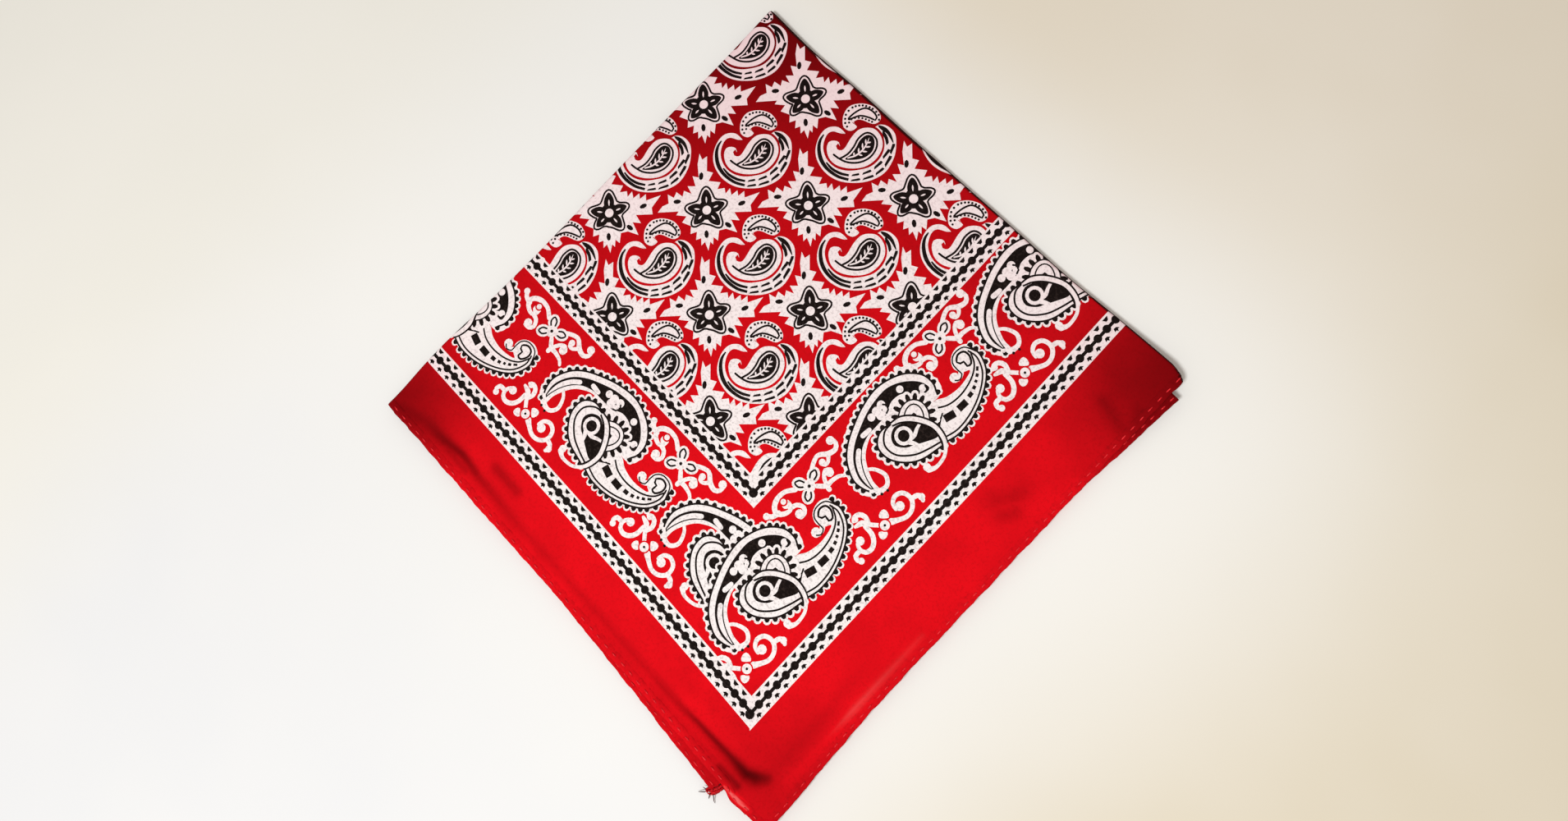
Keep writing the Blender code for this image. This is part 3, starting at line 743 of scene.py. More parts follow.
def horn():
    """The side paisley of a border group: a horn that tapers up into a curl."""
    rim = ((18.2, -4), (25.6, 0.4), (32.4, 8.4), (37, 18.4), (38.6, 28), (36, 35.6), (31.2, 39.6))
    marks = beads("white", rim, 3.7, 1.9, offset=1.1, sides=8)
    marks += shape("white", (
        (12, 6), (17, -4), (26.5, 0), (34, 9.5), (38.6, 19.5), (40.2, 29), (36.9, 36.6), (31.5, 40.6),
        (26.5, 40), (23.4, 37), (22.3, 33), (24, 29), (28, 27.8), (31, 28.6), (29.6, 25.6), (25.6, 20.8),
        (20, 17), (14, 14.8),
    ))
    marks += stroke("white", ((27.2, 29.5, 3), (26.6, 26, 2.6), (24.3, 24.2, 2.6), (22.9, 25.2, 2.6)))
    marks += dot("white", 24, 25.4, 2.5)
    marks += teeth(rim, 3.7, 1.8, 2.2)
    marks += stroke("black", rim, 0.6)
    marks += stroke("black", (
        (17.4, -2), (24.9, 2.3), (31.1, 9.7), (35.4, 18.9), (36.8, 27.6), (34.5, 34.4), (30.6, 37.4),
    ), 0.55)
    marks += jagged("black", (
        (14.6, 5.6), (16.8, 4), (17.8, 8.4), (16.6, 7.2),
    )) + stroke("black", ((17, 6.6), (18, 9.4)), 0.5)
    marks += stroke("black", (
        (15, 11.8), (21, 13.4), (26.8, 17.8), (31.4, 24.4), (33.2, 31), (31.6, 37),
    ), 0.55)
    marks += stroke("black", (
        (34.8, 37), (28.6, 39.2), (24, 36.2), (23.2, 32.2), (25.4, 29), (27.4, 27), (26.4, 24.4), (24, 24.2),
    ), 0.4)
    for x, y, width, length, turn in (
        (21.3, 8.2, 3.3, 5.2, 28), (27.3, 12.9, 3.0, 4.8, 42), (31, 17.6, 1.8, 2.3, 50),
        (32.8, 20.8, 1.3, 1.5, 60), (33.7, 23.6, 1.1, 1.1, 60), (34.3, 26.3, 1.1, 1.4, 75),
        (34.5, 29.3, 0.9, 1.8, 85),
    ):
        box = np.array([(-1, -1), (1, -1), (1, 1), (-1, 1)]) * (length / 2, width / 2)
        marks += jagged("black", turned(box, turn) + (x, y))
    marks += stroke("black", (
        (25.2, 32.4), (25.6, 35.6), (28.4, 37.2), (31, 35.4), (31.8, 31.8), (30, 30.6), (28.4, 32.6),
        (26.8, 31.8),
    ), 0.75, closed=True)
    return marks


def flower_scroll():
    """White vines round a small flower of three looped petals."""
    marks = []
    for points in (
        ((3.5, 0, 2.4), (8, 0, 2.6), (10.5, 2.2, 2.4), (14, 4.3, 2), (16.5, 4.5, 1.8)),
        ((8, 0, 2.4), (9.4, -1.6, 2.6)),
        ((8, 0.6, 2.2), (7, 4, 2.2), (7.6, 7, 2.2), (10, 7.2, 2.4)),
        (
            (1.5, 4.5, 2.6), (1.5, 8.5, 2.4), (4, 13.6, 2.4), (9, 14.4, 2.8), (12.4, 16.4, 2.6),
            (12.6, 19.2, 2.4), (10.6, 20.9, 2.4),
        ),
        ((9, 14.4, 2.4), (9, 11, 2), (7.6, 9.4, 2), (5.6, 10.2, 2.2)),
        (
            (-6.5, -1.5, 2.6), (-11.5, -2.5, 2.4), (-15, -5.5, 2.8), (-16.4, -9, 2.8), (-15.5, -12, 2.8),
            (-12.2, -12.4, 2.6), (-9, -10.8, 2.2), (-8.7, -8.4, 1.8), (-10.4, -6.8, 2),
        ),
        ((-9, -10, 2.4), (-6, -8.4, 2.4), (-2.7, -9.4, 2.4), (-2.3, -12, 2.4), (-4, -13.8, 2.4)),
        ((-14.5, -12, 3), (-17.6, -13.6, 2.6), (-20, -13.2, 2.6)),
    ):
        marks += stroke("white", points)
    for x, y, radius in (
        (10, 20.4, 2.2), (9.6, 6, 2.2), (6.2, 10.6, 1.8), (-11, -8.2, 2.1), (-4.6, -12.4, 2.3),
        (-20.2, -13.4, 1.8),
    ):
        marks += dot("white", x, y, radius)
    marks += dot("red", -12.2, -6.9, 2.1, sides=12) + dot("white", -12.2, -6.9, 1.5, sides=12)
    petals = [(x, y, math.degrees(math.atan2(y, x))) for x, y in ((2, 5), (-4.5, 1), (-0.5, -4.5))]
    for x, y, bearing in petals:
        marks += dot("white", x, y, 3.2, 3.9, bearing, sides=14)
    marks += dot("white", 0, 0, 3.2)
    for x, y, bearing in petals:
        loop = turned(np.array([(-1.8, 1.1), (0.4, 1.5), (2.3, 0), (0.4, -1.5), (-1.8, -1.1)]), bearing)
        marks += stroke("black", loop + (x, y), 0.6, step=0.9)
    return marks + dot("black", 0, 0, 0.7, sides=8)


def ring_scroll():
    """White vines either side of a small ring with two buds."""
    marks = []
    for points in (
        ((-2.5, 0, 2.2), (-7.5, 0.4, 2.4), (-10.5, 1, 3), (-13.6, -0.6, 1.8)),
        ((-7.5, 1, 2.4), (-9, 3.8, 2.6), (-11.8, 4.8, 2.6), (-14, 3.6, 2.4), (-14.4, 1.8, 2)),
        (
            (-9, -0.5, 2.4), (-6.2, -3.5, 2.6), (-5.2, -7, 2.6), (-6.2, -10.3, 2.6), (-9, -11.8, 2.4),
            (-11.6, -10.6, 2.2), (-12.5, -8, 2.2), (-11.6, -6, 2.2),
        ),
        ((-11.5, -11, 2.4), (-13.6, -13.4, 2.6), (-12.6, -15.4, 2.4)),
        (
            (3, 1.6, 3.4), (5.8, 2.2, 2.6), (10, 3.7, 2.4), (12.4, 6.7, 2.4), (12.7, 10.5, 2.4),
            (11, 13, 2.4), (8, 14.2, 2.4), (4.8, 12.8, 2.4), (3.8, 9.5, 2.2), (5.2, 7, 2),
        ),
        ((12.2, 11.4, 2.4), (15, 13, 2.6), (17.4, 12.4, 2.4), (17.6, 10.8, 2.2)),
    ):
        marks += stroke("white", points)
    for x, y, radius in (
        (-13.6, 2.6, 1.6), (-11.4, -6.8, 2.2), (-11, -15.6, 1.7), (7, 8.4, 2.4), (17, 12.4, 1.8),
    ):
        marks += dot("white", x, y, radius)
    marks += shape("white", ((-2.6, 3.2), (-2.3, 5.8), (-0.4, 7.2), (1.5, 5.8), (1.9, 3.2)))
    marks += shape("white", ((-2.9, -2.8), (-2.7, -5.2), (-1, -6.4), (0.9, -5.2), (1.2, -2.8)))
    marks += dot("red", 0, 0, 3.0, sides=14) + dot("white", 0, 0, 2.45, sides=14)
    return marks + dot("black", 0, 0, 0.5, sides=8)


print_marks = []  # colour and outline, with the outline in places on the cloth


def stamp(marks, x, y, turn=0.0):
    """Prints a motif at a place in the drawing, turned anticlockwise by this many degrees."""
    for colour, outline in marks:
        drawn = turned(outline, turn) + (x, y)
        print_marks.append((colour, (drawn @ np.array([[1, -1], [-1, -1]])) / math.sqrt(2)))


def field_place(row, column):
    """Where a motif of the field sits, in the drawing. The cloth is pulled, so the rows aren't quite even."""
    right = 11.61 + 38.47 * row + 1.56 * column - 0.39 * row * column - 0.53 * row**2 - 0.045 * column**2
    left = 55.69 + 0.71 * row + 36.03 * column - 0.08 * row * column - 0.16 * row**2 - 0.42 * column**2
    return (right - left) / math.sqrt(2), -(right + left) / math.sqrt(2)


def print_field():
    """Star flowers and paisleys by turns, all the same way up. The lowest of them are pulled out of line."""
    motifs = (star_flower(), paisley())
    pulled = {
        (3, 2): (0.4, -1.5), (3, 3): (-0.4, -1.5), (4, -1): (-1.2, 0), (4, 0): (-1.2, -0.8),
        (4, 1): (-1.5, -1.5), (4, 2): (-0.8, -1.9), (4, 3): (1.6, -3.6),
    }
    for row in range(-1, 5):
        for column in range(-2, 4):
            x, y = np.add(field_place(row, column), pulled.get((row, column), (0.0, 0.0)))
            stamp(motifs[(row + column) % 2], x, y)


def print_border_ground(right_edge, left_edge):
    """Bare red from the field's edge outwards, so that the motifs of the field end there."""
    far = 300.0
    outline = (
        (right_edge, -30.0), (far, -30.0), (far, far), (-30.0, far), (-30.0, left_edge),
        (right_edge, left_edge),
    )
    print_marks.append(("red", np.array(outline)))


CHAIN_START = -8.0  # past the fold
CHAIN_HALF_WIDTH = 4.9
TRIANGLE = ((-1.45, -3.9), (1.5, -3.8), (0.5, -2.35), (-0.5, -2.5))
TREFOIL = ((-1.4, 3.5), (-0.4, 2.5), (0.9, 2.4), (1.4, 3.6), (0.5, 3.5), (0.1, 4.3), (-0.5, 3.4))


def print_chain(centre, side, corner, pitch):
    """A white strip with black beads on a bar, small triangles inside them and trefoils outside them."""

    def spots(points):
        """Places on the cloth from distances along and across the strip."""
        points = np.array(points, float)
        across = along(centre, points[:, 0]) + points[:, 1]
        return np.column_stack([points[:, 0], across] if side == "left" else [across, points[:, 0]])

    def strip(colour, low, high):
        """A band from low to high across the chain, mitred at the corner."""
        stations = np.append(np.arange(CHAIN_START, corner + low, 12.0), corner + low)
        mitre = np.append(stations[:-1], corner + high)
        lower = [(place, low) for place in stations]
        upper = [(place, high) for place in mitre]
        for k in range(len(stations) - 1):
            print_marks.append((colour, spots((lower[k], lower[k + 1], upper[k + 1], upper[k]))))

    strip("white", -CHAIN_HALF_WIDTH, CHAIN_HALF_WIDTH)
    strip("black", -0.8, 0.8)
    place = corner  # of each bead, from the corner towards the fold
    while place > CHAIN_START:
        angle = np.arange(10) * math.pi / 5
        radius = 2.25 if place == corner else 2.0
        ring = np.column_stack([place + radius * np.cos(angle), radius * np.sin(angle)])
        print_marks.append(("black", spots(ring)))
        middle = place - pitch / 2
        wings = [TRIANGLE] if place < corner else []
        for wing in (*wings, TREFOIL):
            print_marks.append(("black", spots(grown("black", np.add(wing, (middle, 0.0))))))
        place -= pitch


def print_border():
    """The two beaded strips and, between them, groups of three paisleys joined by scrolls."""
    inner = {"left": (169.6, 169.6, 169.6, 169.9, 170.1), "right": (162.3, 162.2, 162.0, 161.9, 161.9)}
    outer = {"left": (236.0, 236.2, 236.7, 237.8, 239.4), "right": (228.4, 229.1, 229.2, 229.1, 229.5)}
    print_border_ground(157.6, 165.0)
    print_chain(inner["left"], "left", 161.9, 5.78)
    print_chain(inner["right"], "right", 170.0, 5.88)
    for x, y in ((-107.0, -156.4), (-40.8, -220.8)):
        stamp(flower_scroll(), x, y, -90)
    for x, y in ((-119.3, -195.8), (-58.2, -258.6)):
        stamp(ring_scroll(), x, y, -90)
    for x, y in ((20.7, -232.0), (82.6, -166.5)):
        stamp(flower_scroll(), x, y)
    for x, y in ((120.9, -183.2), (55.5, -249.8), (-8.7, -312.2)):
        stamp(ring_scroll(), x, y)
    group = horn() + comet() + dome() + drop()
    for x, y, turn in ((-154.6, -137.6, -90), (-85.2, -202.4, -90), (126.6, -148.2, 0), (64.9, -210.0, 0)):
        stamp(group, x, y, turn)
    stamp(comet() + drop(), -23.9, -265.9, -90)
    stamp(group, -0.3, -278.1)
    print_border_ground(230.0, 238.0)
    print_chain(outer["left"], "left", 229.5, 5.67)
    print_chain(outer["right"], "right", 239.4, 5.86)


print_field()
print_border()


# ---- The printed quarter on top ---------------------------------------------------------------------------
# The quarter of the cloth that shows: cotton lawn, printed through, its margin plain red. It turns down at both
# folds, and its loose sides go under the hems.

HEM_WIDTH = 4.6
UNDER_HEM = 0.8  # from the hem's outer edge to the edge of the sheet that goes under it
WALL = 0.6
OUTLINE_STEP = 3.0
TURN_END = 9.0  # the cloth is bent up to here from its fold lines
MARGIN_START, CLOTH_END = 232.0, 276.0  # where its plain margin starts, and past its loose sides
MAP_MARGIN, MAP_SPAN = 8, 285  # a sheet's own map: its edge and its whole width
FACE_SHARE, BACK_START, BACK_SHARE = 0.98, 0.985, 0.012  # the parts of the map for its face and its back
HEM_STARTS = {("second", "right"): 6.8, ("third", "right"): 8.0, ("back", "right"): 3.0}


def outline_of(layer, low_right, low_left):
    """Places round the edge of a layer. low_right and low_left are how far it goes past its fold lines."""
    runs = np.arange(0.0, 1.0, OUTLINE_STEP / SIDE)
    far_left, far_right = (hem_line(layer, side, runs * SIDE) - UNDER_HEM for side in ("left", "right"))
    before_hem = runs * SIDE < HEM_STARTS.get((layer, "right"), 0.0)
    far_right = np.where(before_hem, np.minimum(far_right, 266.4), far_right)
    near_left = fold_line("left", runs * SIDE) - low_right
    near_right = fold_line("right", runs * SIDE) - low_left
    corner = far_right[-1], far_left[-1]

    def stretch(first, last):
        return first + (last - first) * runs

    return np.vstack([
        np.column_stack([stretch(near_left[0], far_right[0]), near_right]),
        np.column_stack([far_right, stretch(near_right[-1], corner[1])]),
        np.column_stack([stretch(corner[0], near_left[-1]), far_left[::-1]]),
        np.column_stack([near_left[::-1], stretch(far_left[0], near_right[0])]),
    ])


# Where the creases are sharpest: from and to, right and then left.
CREASED = ((202.4, 256.6, 251.4, 262.6), (233.4, 248.6, 262.7, 267.0), (26.4, 62.6, 255.4, 263.2))


def points_between(field, margin, turn):
    """Loose points that carry the cloth's form between the printed outlines, spaced to suit each part."""
    turns, down = np.arange(-7.0, TURN_END, turn), np.arange(-7.0, CLOTH_END, turn * 2)
    inner, outer = np.arange(10.0, MARGIN_START, field), np.arange(MARGIN_START, CLOTH_END, margin)
    beside = np.arange(10.0, CLOTH_END, margin)
    parts = [
        (turns, down), (down[down > TURN_END], turns), (inner, inner),
        (outer, beside), (beside[beside < MARGIN_START - 0.1], outer),
    ]
    if margin < 2:
        parts += [(np.arange(x0, x1, 0.9), np.arange(y0, y1, 0.9)) for x0, x1, y0, y1 in CREASED]
    return np.vstack([np.column_stack([part.ravel() for part in np.meshgrid(*pair)]) for pair in parts])


def bent_at_folds(mark):
    """A mark with more points where it crosses a fold, so that it bends with the cloth there."""
    runs = []
    for start, end in zip(mark, np.roll(mark, -1, axis=0)):
        count = max(1, math.ceil(math.dist(start, end) / 1.3))
        run = start + (end - start) * np.arange(count)[:, None] / count
        nearest = run.min(axis=1)
        runs.append(run[(np.arange(count) == 0) | ((nearest > -8.0) & (nearest < TURN_END))])
    return np.vstack(runs)


def cut_and_fill(outline, loose, marks):
    """Splits a flat shape along the marks printed on it. Gives its points, triangles and colours."""
    corners, faces, colours = [Vector(point) for point in outline], [list(range(len(outline)))], ["red"]
    low, high = outline.min(axis=0), outline.max(axis=0)
    for colour, mark in marks:
        if (mark.max(axis=0) < low).any() or (mark.min(axis=0) > high).any():
            continue
        if mark.min() < TURN_END:
            mark = bent_at_folds(mark)
        first = len(corners)
        corners += [Vector(point) for point in (mark if area_of(mark) > 0 else mark[::-1])]
        faces.append(list(range(first, len(corners))))
        colours.append(colour)
    corners += [Vector(point) for point in loose]
    points, _, triangles, _, _, sources = delaunay_2d_cdt(corners, [], faces, 1, 1e-3, True)
    kept = [
        (triangle, colours[max(source)])
        for triangle, source in zip(triangles, sources) if source and 0 in source
    ]
    used = sorted({corner for triangle, _ in kept for corner in triangle})
    number = {corner: index for index, corner in enumerate(used)}
    triangles = [[number[corner] for corner in reversed(triangle)] for triangle, _ in kept]
    return np.array([points[corner][:] for corner in used]), triangles, [colour for _, colour in kept]


INKS = ("red", "white", "black")


def cloth_layer(name, outline, loose, marks, surface, finishes, face_up=True):
    """A closed thin sheet of cloth: the printed face, a plain one behind it, and its raw edge."""
    points, triangles, colours = cut_and_fill(outline, loose, marks)
    sides = {(triangle[k], triangle[(k + 1) % 3]) for triangle in triangles for k in range(3)}
    rim = {start: end for start, end in sides if (end, start) not in sides}
    loop = [min(rim)]
    while rim[loop[-1]] != loop[0]:
        loop.append(rim[loop[-1]])
    back_points, back_triangles, _ = cut_and_fill(points[loop][::-1], loose, [])
    shell = bmesh.new()
    flat = shell.loops.layers.uv.new("OFBake")
    shading_layer = shell.verts.layers.float.new("painted_shading")
    spots, rows = {}, []
    for number, (places, depth) in enumerate(((points, 0.0), (back_points, WALL))):
        right, left = places.T
        row = [shell.verts.new(spot) for spot in surface(right, left, np.full(len(places), depth))]
        # Each point keeps its painted shade and sheen, and the cotton's colour follows them.
        for vertex, (right, left), shade in zip(row, places, painted_shade_and_sheen(right, left)):
            up = (left + MAP_MARGIN) / MAP_SPAN
            band = BACK_START + BACK_SHARE * up if number else FACE_SHARE * up
            spots[vertex] = ((right + MAP_MARGIN) / MAP_SPAN, band)
            vertex[shading_layer] = shade
        rows.append(row)
    upper, lower = rows
    for triangle, colour in zip(triangles, colours):
        shell.faces.new([upper[k] for k in triangle]).material_index = INKS.index(colour)
    for triangle in back_triangles:
        shell.faces.new([lower[k] for k in reversed(triangle)])
    last = len(loop) - 1
    for k, start in enumerate(loop):
        after = (k + 1) % len(loop)
        shell.faces.new([upper[start], lower[last - k], lower[last - after], upper[loop[after]]])
    for face in shell.faces:
        for corner in face.loops:
            corner[flat].uv = spots[corner.vert]
    if not face_up:
        bmesh.ops.reverse_faces(shell, faces=shell.faces)
    return new_piece(name, shell, *finishes)


THREAD_SPACING = 0.00055  # in metres
# The near-black of the painted shade line along the right-hand fold.
FOLD_SHADE_COLOUR = (0.022, 0.007, 0.006)


def cotton(name, base, deep_tone_and_shade, sheen_colour, speck, speck_share):
    """Cotton lawn in one colour: a fine weave, specks between the threads, and the painted shade and sheen
    stored on it.
    """
    made, nodes, links, shader = new_material(name, 0.85, 0.03)
    place = nodes.new("ShaderNodeTexCoord").outputs["Object"]
    turn = nodes.new("ShaderNodeMapping")
    turn.inputs["Rotation"].default_value = (0.0, 0.0, math.radians(45))
    links.new(place, turn.inputs["Vector"])
    threads = turn.outputs["Vector"]
    cloudy = ramp(nodes, links, noise(nodes, links, place, 0.02, 3.0), 0.36, 0.66, 0.0, 0.12)
    colour = blend_colours(nodes, links, cloudy, base, deep_tone_and_shade)
    specks = ramp(nodes, links, noise(nodes, links, threads, 0.0013, 2.0, 0.65), 0.48, 0.66, 0.0, speck_share)
    colour = blend_colours(nodes, links, specks, colour, speck)
    # The painted shading stored on the cloth: below 0 paler, as painted sheen; 0 to 1 darker, as painted shade;
    # above 1 the dark painted shade line along the right-hand fold.
    depth = nodes.new("ShaderNodeAttribute")
    depth.attribute_name = "painted_shading"
    colour = blend_colours(nodes, links, ramp(nodes, links, depth.outputs["Fac"], 0.0, -0.6), colour, sheen_colour)
    share = nodes.new("ShaderNodeClamp")
    links.new(depth.outputs["Fac"], share.inputs["Value"])
    colour = blend_colours(nodes, links, share.outputs["Result"], colour, deep_tone_and_shade)
    fold_shade_share = ramp(nodes, links, depth.outputs["Fac"], 1.1, 2.4)
    links.new(blend_colours(nodes, links, fold_shade_share, colour, FOLD_SHADE_COLOUR), shader.inputs["Base Color"])
    wefts = []
    for direction in ("X", "Y"):
        wave = nodes.new("ShaderNodeTexWave")
        wave.bands_direction = direction
        wave.inputs["Scale"].default_value = 2 * math.pi / 20 / THREAD_SPACING
        wave.inputs["Distortion"].default_value = 1.5
        wave.inputs["Detail"].default_value = 1.0
        links.new(threads, wave.inputs["Vector"])
        wefts.append(wave.outputs["Fac"])
    crossing = nodes.new("ShaderNodeMath")
    crossing.operation = "MULTIPLY"
    links.new(wefts[0], crossing.inputs[0])
    links.new(wefts[1], crossing.inputs[1])
    bump = nodes.new("ShaderNodeBump")
    bump.inputs["Strength"].default_value = 0.25
    bump.inputs["Distance"].default_value = 0.0003
    links.new(crossing.outputs[0], bump.inputs["Height"])
    links.new(bump.outputs["Normal"], shader.inputs["Normal"])
    return made


# The pale red of the painted sheen on the cotton's ridges and hem edges.
SHEEN_RED = (0.80, 0.17, 0.16)
printed = tuple(cotton(*finish) for finish in (
    ("red_cotton", (0.725, 0.0035, 0.0085), (0.062, 0.0007, 0.0012), SHEEN_RED, (0.52, 0.003, 0.006), 0.45),
    ("white_ink", (0.885, 0.825, 0.805), (0.80, 0.575, 0.595), (0.92, 0.88, 0.87), (0.50, 0.44, 0.43), 0.60),
    ("black_ink", (0.009, 0.006, 0.005), (0.008, 0.004, 0.004), (0.03, 0.02, 0.02), (0.045, 0.03, 0.026), 0.45),
))
front = cloth_layer(
    "printed_quarter", outline_of("front", LEFT_TURN, RIGHT_TURN), points_between(8.0, 1.8, 0.9), print_marks,
    front_surface, printed,
)
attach(front, "root")
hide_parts("front_quarter")


# ---- The hems ---------------------------------------------------------------------------------------------
# Each loose side is turned twice and sewn with one row of red thread, which puckers it a little. The four
# layers' hems lie on each other, and the lower ones stick out where the layers don't quite meet.

hem_cotton = cotton(
    "hem_cotton", (0.70, 0.004, 0.009), (0.06, 0.0007, 0.0012), SHEEN_RED, (0.45, 0.003, 0.006), 0.5
)
# Painted shade: the lower hems lie under the front, so they are coloured darker.
HEM_SHADES = {"front": 0.0, "second": 0.12, "third": 0.22, "back": 0.3}  # how much darker the lower hems look
LAYER_TOPS = {"front": TOP + 0.3, "second": 3.6, "third": 2.3, "back": 1.0}
FOLLOWS = {"second": 1.0, "third": 0.45, "back": 0.0}  # how much of the front's relief a layer takes up


def edge_line(layer, side, place):
    """A loose side of a layer, at any place along it."""
    reach = SIDE if layer == "front" else HEM_LINES[layer, OTHER_SIDE[side]][-1]
    return hem_line(layer, side, place * SIDE / reach)


def layer_point(layer, side, place, across, height):
    """Points of the model on a hem. across runs inwards from the layer's edge, and height up from the hem's
    middle."""
    line = edge_line(layer, side, place) - across
    right, left = (place, line) if side == "left" else (line, place)
    if layer == "front":
        return front_surface(right, left, 0.24 - height), right, left
    follows = FOLLOWS[layer]
    lift = relief_below(right, left) if follows else np.zeros_like(right)
    lift = follows * (lift if layer == "second" else np.maximum(lift, 0.0))
    return placed(right, left, LAYER_TOPS[layer] - 0.5 + lift + 0.8 * height), right, left


def rolled(stations, around):
    """A strip rolled round its length, as a flat grid: gives it with its points' stations and angles."""
    strip = bmesh.new()
    bmesh.ops.create_grid(strip, x_segments=len(stations) - 1, y_segments=around, size=0.5)
    columns = [round((vertex.co.x + 0.5) * (len(stations) - 1)) for vertex in strip.verts]
    angles = np.array([(vertex.co.y + 0.5) * 2 * math.pi for vertex in strip.verts])
    return strip, np.array(stations)[columns], angles


def closed_up(strip, spots):
    """Puts a rolled strip's points in place, and closes its seam and its ends."""
    for vertex, spot in zip(strip.verts, spots):
        vertex.co = spot
    bmesh.ops.remove_doubles(strip, verts=strip.verts, dist=0.00001)
    bmesh.ops.holes_fill(strip, edges=[edge for edge in strip.edges if edge.is_boundary], sides=0)
    bmesh.ops.recalc_face_normals(strip, faces=strip.faces)
    return strip


def hem(layer, side, seed):
    """A flattened tube of turned cloth down one loose side of a layer."""
    start = float(fold_line(side, SIDE)) - (LEFT_TURN if side == "left" else RIGHT_TURN) * (layer == "front")
    start = max(start, HEM_STARTS.get((layer, side), start))
    end = float(HEM_LINES[layer, OTHER_SIDE[side]][-1]) - (0.3 if side == "left" else HEM_WIDTH * 0.5)
    tube, place, angle = rolled(np.linspace(start, end, round((end - start) / 1.4)), 12)
    flat = np.sign(np.cos(angle)) * np.abs(np.cos(angle)) ** 0.7
    edge = 0.22 * waver(place, 5.0, seed) + 0.22 * waver(place, 1.9, seed + 2) * (flat > 0)
    across = HEM_WIDTH / 2 * (1 - flat) - edge
    rise = (0.52 + 0.10 * flat) * np.sign(np.sin(angle)) * np.abs(np.sin(angle)) ** 0.75
    pucker = 0.16 * np.cos(place * 2 * math.pi / STITCH_PITCH + seed) + 0.16 * waver(place, 2.2, seed)
    rise = rise + np.where(rise > 0, pucker * (1 - 0.5 * np.abs(flat)), 0.0)
    blunt = 1 - np.exp(-np.minimum(place - start, end - place) / 0.8)
    rise = rise * (0.35 + 0.65 * blunt)
    spots, right, left = layer_point(layer, side, place, across, rise)
    # Painted shade and sheen from the cloth's place, and more painted shade on the lower hems.
    shading_layer = tube.verts.layers.float.new("painted_shading")
    for vertex, shade in zip(tube.verts, painted_shade_and_sheen(right, left)):
        vertex[shading_layer] = shade + max(1 - shade, 0.0) * HEM_SHADES[layer]
    piece = new_piece(f"{layer}_hem_{side}_sewn", closed_up(tube, spots), hem_cotton)
    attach(piece, "root")
    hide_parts(f"{layer}_hem_{side}")
    return piece


hems = {}
for layer in LAYER_TOPS:
    for side in ("left", "right"):
        hems[layer, side] = hem(layer, side, len(hems))


# ---- The stitching ----------------------------------------------------------------------------------------
# Red thread, sewn by machine about two millimetres from the edge, on the four hems where it is seen.


def thread_finish(name, light, dark):
    """Cotton thread, lighter and darker by turns along its twist."""
    made, nodes, links, shader = new_material(name, 0.6, 0.1)
    place = nodes.new("ShaderNodeTexCoord").outputs["Object"]
    twist = ramp(nodes, links, noise(nodes, links, place, 0.0006), 0.4, 0.6)
    links.new(blend_colours(nodes, links, twist, light, dark), shader.inputs["Base Color"])
    return made


thread_red = thread_finish("sewing_thread", (0.84, 0.032, 0.040), (0.60, 0.010, 0.016))


def stitches(layer, side, first, last, seed):
    """A row of short rounded stitches, sunk a little into the hem at both ends."""
    places = np.arange(first, last, STITCH_PITCH)
    places = places + 0.5 * waver(places, 1.7, seed)
    row = bmesh.new()
    for place, size in zip(places, 1.7 + 0.3 * waver(places, 0.9, seed + 3)):
        one = bmesh.ops.create_icosphere(row, subdivisions=1, radius=1.0)["verts"]
        local = np.array([vertex.co[:] for vertex in one])
        down = place + local[:, 0] * size
        across = 2.1 - local[:, 1] * 0.34 + 0.15 * waver(down, 4.0, seed)
        spots, _, _ = layer_point(layer, side, down, across, 0.68 + 0.24 * local[:, 2])
        for vertex, spot in zip(one, spots):
            vertex.co = spot
    bmesh.ops.recalc_face_normals(row, faces=row.faces)
    piece = new_piece(f"{layer}_stitches_{side}", row, thread_red)
    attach(piece, "root")
    return piece


stitching = {}
for layer, side, first, last in (
    ("front", "left", 4.0, 266.0), ("front", "right", 2.0, 264.0),
    ("second", "left", 120.0, 238.0), ("second", "right", 9.0, 60.0),
):
    stitching[layer, side] = stitches(layer, side, first, last, len(stitching) + 1)


# ---- The layers between -----------------------------------------------------------------------------------
# The second and third quarters of the folded cloth, flat between the outer two. They are seen only at the loose
# sides, and they dip under the front's creases.


def between_surface(layer):
    """The way to place one of the layers between; depth is how far below its upper face."""

    def surface(right, left, depth):
        lift = relief_below(right, left)
        if layer == "third":
            lift = FOLLOWS[layer] * np.maximum(lift, 0.0) + np.minimum(lift + 1.3, 0.0)
        return placed(right, left, LAYER_TOPS[layer] - 0.15 + lift - depth * 0.7)

    return surface


# A darker copy of the red cotton: painted shade on the layers between, which lie in the shade of the others.
inner_cotton = cotton(
    "inner_cotton", (0.60, 0.003, 0.007), (0.055, 0.0006, 0.001), SHEEN_RED, (0.40, 0.003, 0.006), 0.5
)
for layer, below in (("second", "third_layer"), ("third", "printed_quarter_beneath")):
    between = cloth_layer(
        f"{layer}_layer", outline_of(layer, -0.6, -0.6), points_between(8.0, 2.4, 2.0), [],
        between_surface(layer), (inner_cotton,),
    )
    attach(between, "root")
    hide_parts("inner_layers")


# ---- The quarter underneath -------------------------------------------------------------------------------
# The last quarter, printed like the first and lying face down. It turns up at both folds to meet the upper one.


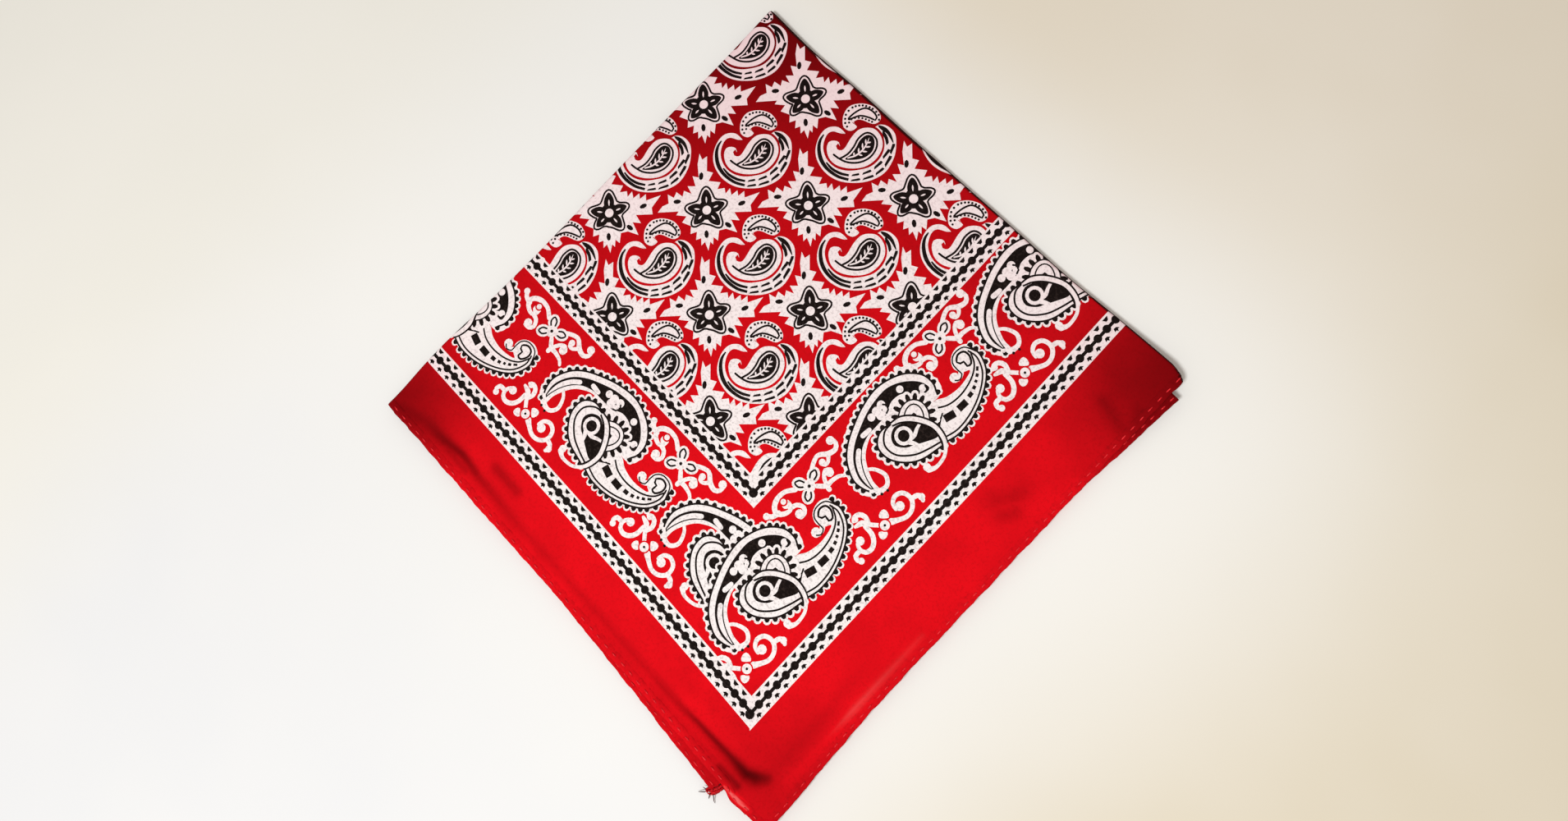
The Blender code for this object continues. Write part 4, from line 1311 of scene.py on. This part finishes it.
def back_surface(right, left, depth):
    """The lower quarter, flat on the floor; depth is how far above its lower face."""
    right, left, depth = (np.asarray(value, float) for value in (right, left, depth))
    past_left = np.clip(fold_line("left", left) - right, 0.0, LEFT_TURN)
    past_right = np.clip(fold_line("right", right) - left, 0.0, RIGHT_TURN)
    angle_left = past_left / LEFT_TURN * math.pi
    angle_right = past_right / MIDDLE
    bulge = MIDDLE - 0.05 - depth
    turned_up = (MIDDLE - 0.12 - 2 * depth) * (1 - np.cos(angle_left)) / 2
    turned_up = turned_up + (MIDDLE - depth) * (1 - np.cos(angle_right))
    height = np.minimum(depth + turned_up, np.where(past_left > 0, MIDDLE - 0.12 - depth, MIDDLE * 2))
    sideways_left, sideways_right = bulge * np.sin(angle_left), bulge * np.sin(angle_right)
    return placed(right + past_left - sideways_left, left + past_right - sideways_right, height)


beneath = cloth_layer(
    "printed_quarter_beneath", outline_of("back", LEFT_TURN, 2.4), points_between(16.0, 6.0, 0.9),
    print_marks, back_surface, printed, face_up=False,
)
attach(beneath, "root")
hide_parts("back_quarter")


# ---- The frayed thread ------------------------------------------------------------------------------------
# Where the sewing of the lower layers ends at their corner, its thread has pulled out into a small matted knot,
# with a few dark loose ends.

KNOT = (
    ((
        (241.8, 270.6, 2.6), (241.2, 273.0, 2.7), (240.0, 275.2, 2.5), (238.8, 277.0, 2.1),
        (238.0, 278.4, 1.6),
    ), 0.80),
    ((
        (243.0, 271.0, 2.4), (242.2, 273.6, 3.0), (241.0, 275.6, 2.9), (239.4, 276.6, 2.4),
        (238.6, 277.8, 1.4),
    ), 0.62),
    ((
        (240.4, 271.6, 2.2), (240.2, 274.0, 1.9), (239.0, 275.6, 1.7), (237.8, 276.6, 1.8),
        (237.6, 277.8, 2.3),
    ), 0.60),
    ((
        (242.6, 272.2, 1.8), (242.2, 274.8, 1.6), (241.2, 276.8, 1.3), (239.6, 278.2, 1.1),
        (238.8, 277.6, 1.2),
    ), 0.58),
    ((
        (240.6, 274.8, 3.0), (239.0, 275.2, 2.8), (237.8, 276.4, 2.1), (238.4, 277.6, 2.7),
        (239.8, 277.4, 2.8),
    ), 0.45),
)
LOOSE_ENDS = (
    ((238.2, 278.4, 2.0), (237.2, 279.4, 1.9), (236.4, 280.4, 1.2), (235.8, 281.2, 0.4)),
    ((238.0, 277.2, 2.2), (236.8, 277.4, 2.3), (235.9, 277.9, 1.5)),
    ((241.4, 276.4, 1.8), (242.6, 277.4, 1.5), (243.6, 278.4, 0.9), (244.8, 279.0, 0.3)),
    ((240.4, 277.8, 1.5), (241.0, 279.0, 1.0), (241.4, 279.8, 0.4)),
)
frayed_red = thread_finish("frayed_red", (0.62, 0.006, 0.011), (0.26, 0.002, 0.004))
loose_thread = thread_finish("loose_thread", (0.10, 0.010, 0.012), (0.035, 0.006, 0.006))


def strands(name, rows, finish, fuzz):
    """Lengths of thread, each rolled round a smooth line through a few places and thinning to its end."""
    whole = bpy.data.meshes.new(name)
    heap = bmesh.new()
    for number, (points, thickness) in enumerate(rows):
        line = smooth_line([(*point, thickness) for point in points], 0.45)
        strip, station, angle = rolled(np.arange(len(line), dtype=float), 7)
        spot = line[station.astype(int)]
        thick = spot[:, 3] * (1 - 0.75 * (station / (len(line) - 1)) ** 3)
        thick = thick * (1 + fuzz * np.sin(angle * 3 + station * 0.9 + number))
        ahead = headings(line)[station.astype(int)]
        right = spot[:, 0] + thick * np.cos(angle) * -ahead[:, 1]
        left = spot[:, 1] + thick * np.cos(angle) * ahead[:, 0]
        closed_up(strip, placed(right, left, np.maximum(spot[:, 2] + thick * np.sin(angle), 0.05)))
        strip.to_mesh(whole)
        strip.free()
        heap.from_mesh(whole)
    bpy.data.meshes.remove(whole)
    return new_piece(name, heap, finish)


for name, rows, finish, fuzz in (
    ("frayed_knot", KNOT, frayed_red, 0.22),
    ("loose_ends", [(points, 0.23) for points in LOOSE_ENDS], loose_thread, 0.0),
):
    frayed = strands(name, rows, finish, fuzz)
    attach(frayed, "root")
    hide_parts("thread_tuft")
